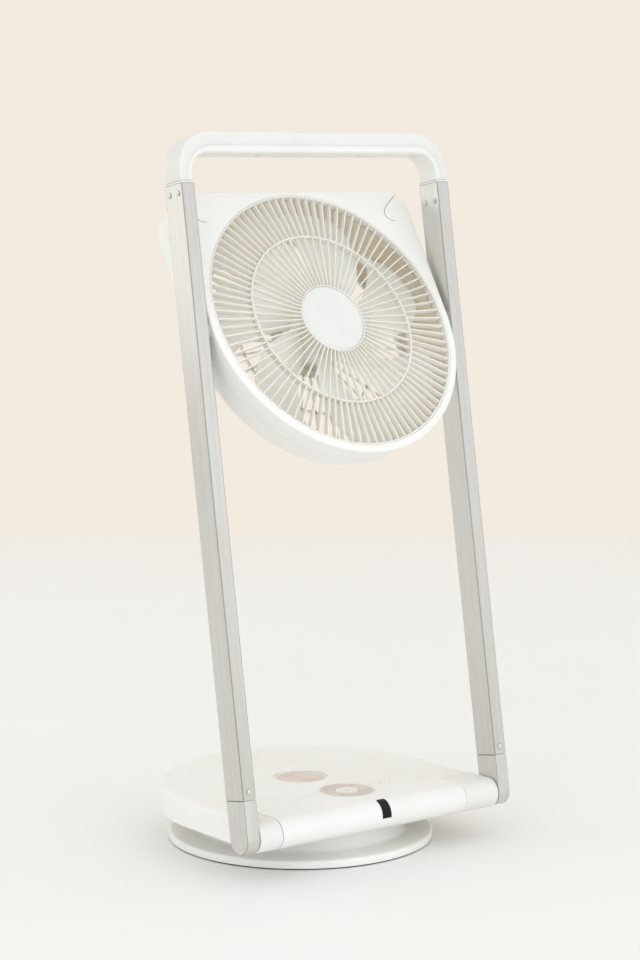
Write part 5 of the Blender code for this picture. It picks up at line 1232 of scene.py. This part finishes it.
def makeRearShell():
    # From the seam down the sides and round the back edge to the rear opening, then back along the inside
    h = head
    seam, back, opening = h["seam"] + h["seamHalf"], h["back"], h["rearOpening"]
    start, edge, inner = back - h["backEdge"], h["backEdge"], h["backEdge"] - h["wall"]
    rings = []
    for along, extra in ((0.0, 0.0004), (0.0002, 0.0001)):
        rings.append((headOutline(headDrawIn(seam) + extra), seam + along))
    for depth in (seam + 0.0005, seam + 0.0015, start - 0.001):
        rings.append((headOutline(headDrawIn(depth)), depth))
    for turn in np.radians(np.linspace(0, 90, 19)):
        rings.append((headOutline(h["taper"] + edge * (1 - math.cos(turn))), start + edge * math.sin(turn)))
    rings.append((headOutline(h["taper"] + edge + 0.0008), back))
    rings += [(headCircle(opening + h["lip"]), back), (headCircle(opening), back - 0.0005)]
    rings.append((headCircle(opening), back - h["wall"]))
    for turn in np.radians(np.linspace(90, 0, 9)):
        amount = h["taper"] + h["wall"] + inner * (1 - math.cos(turn))
        rings.append((headOutline(amount), start + inner * math.sin(turn)))
    rings.append((headOutline(headDrawIn(seam) + h["wall"]), seam))
    piece("headRearShell", ringsToShape(rings), "warmWhite", "head", "warm_white_plastic", ["head_rear_shell"], 34)


# Each boss as (radius, distance out from the middle); where that is None it is the slanting side's own
boss = [
    (0.0043, 0.1510), (0.0080, 0.1510), (0.0080, None), (0.0120, None), (0.0120, 0.1631), (0.0117, 0.1636),
    (0.0112, 0.1637), (0.0075, 0.1637), (0.0072, 0.1634), (0.0043, 0.1634),
]


def makeBoss(side, sign):
    # Circles (r cos t, r sin t) about the pivot, whose foot follows the side's own x at each y
    turn = np.linspace(0, 2 * np.pi, 64, endpoint=False)
    rows = []
    for radius, out in boss:
        y, z = radius * np.cos(turn), radius * np.sin(turn)
        x = head["radius"] - headDrawIn(y) + 0.0001 if out is None else np.full(64, out)
        rows.append(np.stack([sign * x, y, z], axis=1))
    shape = moved(gridShape(np.stack(rows), wrapRows=True), alongHead)
    piece("pivotBoss" + side.title(), shape, "capWhiteShaded", "head", "warm_white_plastic", ["pivot_boss_" + side], 34)


makeFrontShell()
makeGrooves()
makeRearShell()
ductWall = spunShape(softOutline(duct, 12), 180, onHeadAxis)
piece("headInnerWall", ductWall, "innerCreamShade", "head", "warm_white_plastic", (), 34)
makeBoss("left", -1)
makeBoss("right", 1)
print("head shells made")

grille = dict(
    radius=0.15142, rim=0.0020, mid=0.1005, midWidth=0.0020, inner=0.0405, capRadius=0.0385, outerFins=90,
    innerFins=60, fin=0.0013, finBack=0.82, finBehind=0.0002, finSink=0.0006, front=-0.0165, depth=0.0080,
    innerDepth=0.0046, soft=0.0006, midSoft=0.0008, steps=180, capBehind=0.0005,
)
rearGrille = dict(
    radius=0.130, rim=0.004, mid=0.085, midWidth=0.0025, plate=0.042, bore=0.0045, fins=30, fin=0.002, finBack=0.85,
    finBehind=0.0002, finSink=0.002, back=0.0455, depth=0.003, soft=0.0006,
)


def ringShape(inner, outer, front, back, soft):
    # A rectangle spun about the head's axis, its front edges rounded more than its back ones
    corners = [(inner, back, soft / 2), (outer, back, soft / 2), (outer, front, soft), (inner, front, soft)]
    return spunShape(softOutline(corners, 4), grille["steps"], onHeadAxis)


def finShape(turn, start, end, width, nose, tail, taper):
    # A radial bar: its section is a half circle at the nose on a blade that tapers to the tail
    half = width / 2
    way = 1 if tail > nose else -1
    curve = arcPoints((0, 0), half, 180, 0, 6)
    across = np.concatenate([[-half * taper], curve[:, 0], [half * taper]])
    deep = np.concatenate([[tail], nose + way * half - way * curve[:, 1], [tail]])
    radial = np.array([start, end])[:, None]
    c, s = math.cos(turn), math.sin(turn)
    x = radial * c - across[None] * s
    z = radial * s + across[None] * c
    grid = np.stack([x, deep[None] + 0 * radial, z], axis=2)
    return gridShape(alongHead(grid), capEnds=True)


def finsShape(count, *bar):
    # The same fin at even steps round the axis, from straight up
    return [finShape(math.radians(90 + 360 * k / count), *bar) for k in range(count)]


def makeFrontGrille():
    # Three rings, and two rows of fins between them
    g = grille
    front, back, half = g["front"], g["front"] + g["depth"], g["midWidth"] / 2
    shapes = [
        ringShape(g["radius"] - g["rim"], g["radius"], front, back, g["soft"]),
        ringShape(g["mid"] - half, g["mid"] + half, front, back, g["midSoft"]),
        ringShape(g["capRadius"] + 0.0003, g["inner"], front, back, g["soft"]),
    ]
    nose, rim = front + g["finBehind"], g["radius"] - g["rim"] / 2
    shapes += finsShape(g["outerFins"], g["mid"], rim, g["fin"], nose, back, g["finBack"])
    start, tail = g["inner"] - g["finSink"], front + g["innerDepth"]
    shapes += finsShape(g["innerFins"], start, g["mid"], g["fin"], nose, tail, g["finBack"])
    piece("frontGrille", joined(shapes), "grilleWhite", "head", "warm_white_plastic", ["front_grille"], 40)


def makeCentreCap():
    # A disc that bulges by a fraction of a millimetre, with a fine groove inside its rim
    g = grille
    front, outer = g["front"] + g["capBehind"], g["capRadius"]
    cap = [
        (0, front - 0.0004, 0), (0.0200, front - 0.00028, 0.02), (0.0358, front, 0.0004),
        (0.0362, front + 0.0004, 0.0002), (0.0366, front, 0.0003), (outer, front + 0.0002, 0.0008),
        (outer, front + 0.003, 0.0002), (0, front + 0.003, 0),
    ]
    shape = spunShape(softOutline(cap, 5), 160, onHeadAxis)
    piece("centreCap", shape, "capWhiteShaded", "head", "warm_white_plastic", ["centre_cap"], 30)


def makeRearGrille():
    # As the front grille, but its rounded edges face backwards
    g = rearGrille
    back, front, half = g["back"], g["back"] - g["depth"], g["midWidth"] / 2
    shapes = [
        ringShape(g["radius"] - g["rim"], g["radius"], back, front, g["soft"]),
        ringShape(g["mid"] - half, g["mid"] + half, back, front, g["soft"]),
    ]
    plate = [
        (g["bore"], front, 0.0003), (g["plate"], front, 0.0003), (g["plate"], back, 0.0008), (0.034, back, 0.0),
        (0.0335, back - 0.0005, 0.0002), (0.033, back, 0.0), (g["bore"], back, 0.0006),
    ]
    shapes.append(spunShape(softOutline(plate, 4), grille["steps"], onHeadAxis))
    start, end, nose = g["plate"] - g["finSink"], g["radius"] - g["rim"] / 2, back - g["finBehind"]
    shapes += finsShape(g["fins"], start, end, g["fin"], nose, front, g["finBack"])
    piece("rearGrille", joined(shapes), "grilleWhite", "head", "warm_white_plastic", ["rear_grille"], 40)


makeFrontGrille()
makeCentreCap()
makeRearGrille()
print("grilles and cap made")

fan = dict(
    hub=0.038, wall=0.003, front=-0.006, length=0.019, boss=0.008, bore=0.0043, tip=0.143, blades=7, thick=0.0018,
    bladeFront=-0.0035, depth=0.0235, chord=41.0, sweep=24.0, camber=0.0035, narrowing=0.12, rootShare=0.80,
    tipShare=0.50, tipRound=0.055, thinEdge=0.35, thinTip=0.35, steps=96,
)


def bladeShape(turn):
    # Round the axis the angle is turn + lean(r) + chord(r) * (a - 1/2), a going from 0 to 1 over the blade
    # Back along the axis the depth is share(r) * a less a bulge of 4 a (1 - a)
    f = fan
    root = f["hub"] - f["wall"] / 2
    out = np.linspace(0, 1, 22)[:, None]
    radius = root + (f["tip"] - root) * out
    chord = f["chord"] * (1 - f["narrowing"] * out)
    depth = f["depth"] * (f["rootShare"] + (f["tipShare"] - f["rootShare"]) * out)
    lean = f["sweep"] * out**1.5
    a = (1 - np.cos(np.linspace(0, np.pi, 26))) / 2
    # The tip's corners are rounded off: the ends of the chord stop short of the full radius
    short = 1 - f["tipRound"] * np.clip(out, 0, 1) ** 6 * np.abs(2 * a[None] - 1) ** 4
    angle = np.radians(turn + lean + chord * (a[None] - 0.5))
    bulge = f["camber"] * 4 * a * (1 - a)
    y = f["bladeFront"] + f["thick"] + (f["depth"] - depth) / 2 + depth * a[None] - bulge[None]
    y = np.maximum(y, f["bladeFront"])
    full = f["thinEdge"] + (1 - f["thinEdge"]) * (4 * a * (1 - a)) ** 0.35
    thick = f["thick"] * full[None] * (1 - f["thinTip"] * out)
    reach = radius * short

    def face(side):
        # One side of the blade, half its thickness before or behind the middle
        return np.stack([reach * np.cos(angle), y + side * thick / 2, reach * np.sin(angle)], axis=2)

    grid = np.concatenate([face(-1), face(1)[:, ::-1]], axis=1)
    return gridShape(alongHead(grid), capEnds=True)


def makeFan():
    # A cup spun about the axis, with a boss in it and the blades at even steps round it
    f = fan
    back, inside, floor = f["front"] + f["length"], f["hub"] - f["wall"], f["front"] + f["wall"]
    hub = [
        (f["bore"], f["front"], 0.0002),
        (f["hub"], f["front"], 0.0022),
        (f["hub"], back, 0.0004),
        (inside, back, 0.0004),
        (inside, floor, 0.001),
        (f["boss"], floor, 0.0006),
        (f["boss"], back - f["wall"], 0.0004),
        (f["bore"], back - f["wall"], 0.0002),
    ]
    shapes = [spunShape(softOutline(hub, 6), f["steps"], onHeadAxis)]
    shapes += [bladeShape(360 * k / f["blades"]) for k in range(f["blades"])]
    piece("fanBlades", joined(shapes), "bladeWhite", "fan_rotor", "fan_plastic", ["fan_blade"], 40)


makeFan()
print("fan made")

# CAD nodes that keep their own shape take a finish each
kept = {
    "plateWhite": ["base_pan"],
    "innerWhite": ["bottom_cover", "blade_nut"],
    "bearing": ["slide_ring", "swivel_gear", "swivel_pinion", "hinge_bush_left", "hinge_bush_right"],
    "steel": [
        "ballast_plate", "hub_nut", "swivel_motor", "hinge_bracket_left", "hinge_bracket_right", "hinge_shaft_left",
        "hinge_shaft_right", "hinge_nut_left", "hinge_nut_right", "pivot_pin_left", "pivot_pin_right", "rotor_shaft",
    ],
    "screw": ["fan_motor", "grip_screw_outer_left", "grip_screw_left", "grip_screw_right", "grip_screw_outer_right"],
    "dock": ["dock_floor"],
    "board": ["control_board", "power_board"],
    "window": ["power_inlet"],
}
for look, names in kept.items():
    for name in names:
        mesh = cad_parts[name].data
        mesh.materials.clear()
        mesh.materials.append(finishes[look])
        mesh.polygons.foreach_set("material_index", [0] * len(mesh.polygons))
print("CAD nodes dressed:", sum(len(names) for names in kept.values()))

# The room: a pale floor, a peach wall behind it, soft light and the camera
room = dict(
    wallAway=2.32, wallHalf=8, wallHigh=6.0, wallTones=((243, 235, 223), (243, 234, 223)), floorHalf=40,
    floorTone=(245, 244, 241), floorLit=(246, 245, 243), floorRough=0.62, sky=(249, 252, 255), skyPower=1.04,
)
# Each lamp stands across, towards the camera and up from the middle of the floor, and looks at a height
lamps = dict(
    key=dict(
        across=-1.35, near=4.0, up=2.05, aim=0.40, size=(2.6, 2.6), power=11.0, colour=(1.0, 0.995, 0.985)
    ),
    side=dict(
        across=-2.2, near=-0.65, up=1.15, aim=0.55, size=(1.2, 1.0), power=2.6, colour=(0.94, 0.975, 1.0)
    ),
    fill=dict(
        across=2.9, near=3.3, up=1.4, aim=0.35, size=(3.2, 3.2), power=26.0, colour=(0.985, 0.99, 1.0)
    ),
)
view = dict(
    azimuth=37.4047, elevation=7.0005, lens=2524.84 * 36 / 960, sensor=36, across=0.0218, up=-0.0493, away=2.7758,
    aim=0.45, reach=30,
)


def viewAxes():
    # Right, up and back of a camera turned by the azimuth and raised by the elevation
    az, el = math.radians(view["azimuth"]), math.radians(view["elevation"])
    back = np.array([-math.sin(az) * math.cos(el), -math.cos(az) * math.cos(el), math.sin(el)])
    right = np.array([math.cos(az), -math.sin(az), 0.0])
    up = np.cross(back, right)
    return right, up, back


def makeCamera():
    # Away from the aim along the view's own axes
    right, up, back = viewAxes()
    place = np.array([0, 0, view["aim"]]) + right * view["across"] + up * view["up"] + back * view["away"]
    data = bpy.data.cameras.new("photoCamera")
    data.lens = view["lens"]
    data.sensor_width = view["sensor"]
    data.sensor_fit = "AUTO"
    data.clip_end = view["reach"]
    camera = bpy.data.objects.new("photoCamera", data)
    bpy.context.scene.collection.objects.link(camera)
    axes = np.column_stack([right, up, back])
    camera.matrix_world = Matrix.Translation(place.tolist()) @ Matrix(axes.tolist()).to_4x4()
    bpy.context.scene.camera = camera


def stagePlane(name, points, material):
    # Four corners joined by one face, which is part of the room
    mesh = bpy.data.meshes.new(name)
    mesh.from_pydata([tuple(point) for point in points], [], [(0, 1, 2, 3)])
    made = bpy.data.objects.new(name, mesh)
    mesh.materials.append(material)
    bpy.context.scene.collection.objects.link(made)
    return made


def seenOnly(recipe, colour, diffuse):
    # The colour itself for rays from the camera, in gloss and through glass; a lit surface for all other light
    path = recipe.node("ShaderNodeLightPath")
    rays = path.socket.node.outputs
    seen = Wire(recipe, rays["Is Camera Ray"]) + Wire(recipe, rays["Is Glossy Ray"])
    seen = seen + Wire(recipe, rays["Is Transmission Ray"])
    glow = recipe.node("ShaderNodeEmission", {}, {"Color": colour, "Strength": 1.0})
    lit = recipe.node("ShaderNodeBsdfDiffuse", {}, {"Color": diffuse})
    both = recipe.node("ShaderNodeMixShader", {}, {0: seen, 1: lit, 2: glow})
    # The wall is open from behind, so that the back of the fan can be looked at too
    behind = recipe.node("ShaderNodeNewGeometry", {}, {}, out=6)
    clear = recipe.node("ShaderNodeBsdfTransparent")
    both = recipe.node("ShaderNodeMixShader", {}, {0: behind, 1: both, 2: clear})
    output = recipe.tree.nodes["Material Output"]
    recipe.tree.links.new(both.socket, output.inputs["Surface"])
    return recipe.material


def makeRoom():
    # The wall stands square to the view behind the fan, and the floor lies level under it
    right, _, back = viewAxes()
    ahead = np.array([-back[0], -back[1], 0])
    ahead /= np.linalg.norm(ahead)
    across = np.array([right[0], right[1], 0])
    centre = ahead * room["wallAway"]
    recipe = Recipe("wallPaint")
    z = recipe.parts(recipe.place())[2]
    drift = recipe.noise(recipe.place(), 1.6, 2.0, 0.5)
    share = z.ramp(0.0, 1.6) * 0.8 + drift * 0.2
    low, high = (tint(*tone) for tone in room["wallTones"])
    wall = seenOnly(recipe, recipe.mix(share, low, high), high)
    rise, wide = np.array([0, 0, room["wallHigh"]]), across * room["wallHalf"]
    stagePlane("wall", [centre - wide, centre + wide, centre + wide + rise, centre - wide + rise], wall)
    recipe = Recipe("floorPaint")
    drift = recipe.noise(recipe.place(), 2.2, 3.0, 0.5)
    grain = recipe.noise(recipe.place(), 900.0, 2.0, 0.5)
    colour = recipe.mix(drift.ramp(0.3, 0.7), tint(*room["floorTone"]), tint(*room["floorLit"]))
    rough = room["floorRough"] + (grain - 0.5) * 0.1
    recipe.finish(Base_Color=colour, Roughness=rough, Normal=recipe.bump(grain, 0.00002, 0.3))
    far, wide = ahead * room["floorHalf"], across * room["floorHalf"]
    stagePlane("floor", [-far - wide, -far + wide, far + wide, far - wide], recipe.material)


def lamp(name, place, aim, look):
    # A rectangle of light whose back is the way from what it looks at to its place
    data = bpy.data.lights.new(name, "AREA")
    data.shape = "RECTANGLE"
    data.size, data.size_y = look["size"]
    data.energy = look["power"]
    data.color = look["colour"]
    made = bpy.data.objects.new(name, data)
    bpy.context.scene.collection.objects.link(made)
    back = np.array(place, float) - np.array(aim, float)
    back /= np.linalg.norm(back)
    right = np.cross([0, 0, 1.0], back)
    right /= np.linalg.norm(right)
    axes = np.column_stack([right, np.cross(back, right), back])
    made.matrix_world = Matrix.Translation(place) @ Matrix(axes.tolist()).to_4x4()


def makeLight():
    # Three lamps and an even sky
    right, _, back = viewAxes()
    near = np.array([back[0], back[1], 0]) / np.linalg.norm(back[:2])
    for name, look in lamps.items():
        place = right * look["across"] + near * look["near"] + np.array([0, 0, look["up"]])
        lamp(name + "Light", place.tolist(), (0, 0, look["aim"]), look)
    world = bpy.data.worlds.new("studio")
    bpy.context.scene.world = world
    world.use_nodes = True
    sky = world.node_tree.nodes["Background"]
    sky.inputs["Color"].default_value = tint(*room["sky"])
    sky.inputs["Strength"].default_value = room["skyPower"]


makeCamera()
makeRoom()
makeLight()
bpy.context.scene.view_settings.view_transform = "Standard"
print("room, light and camera made")
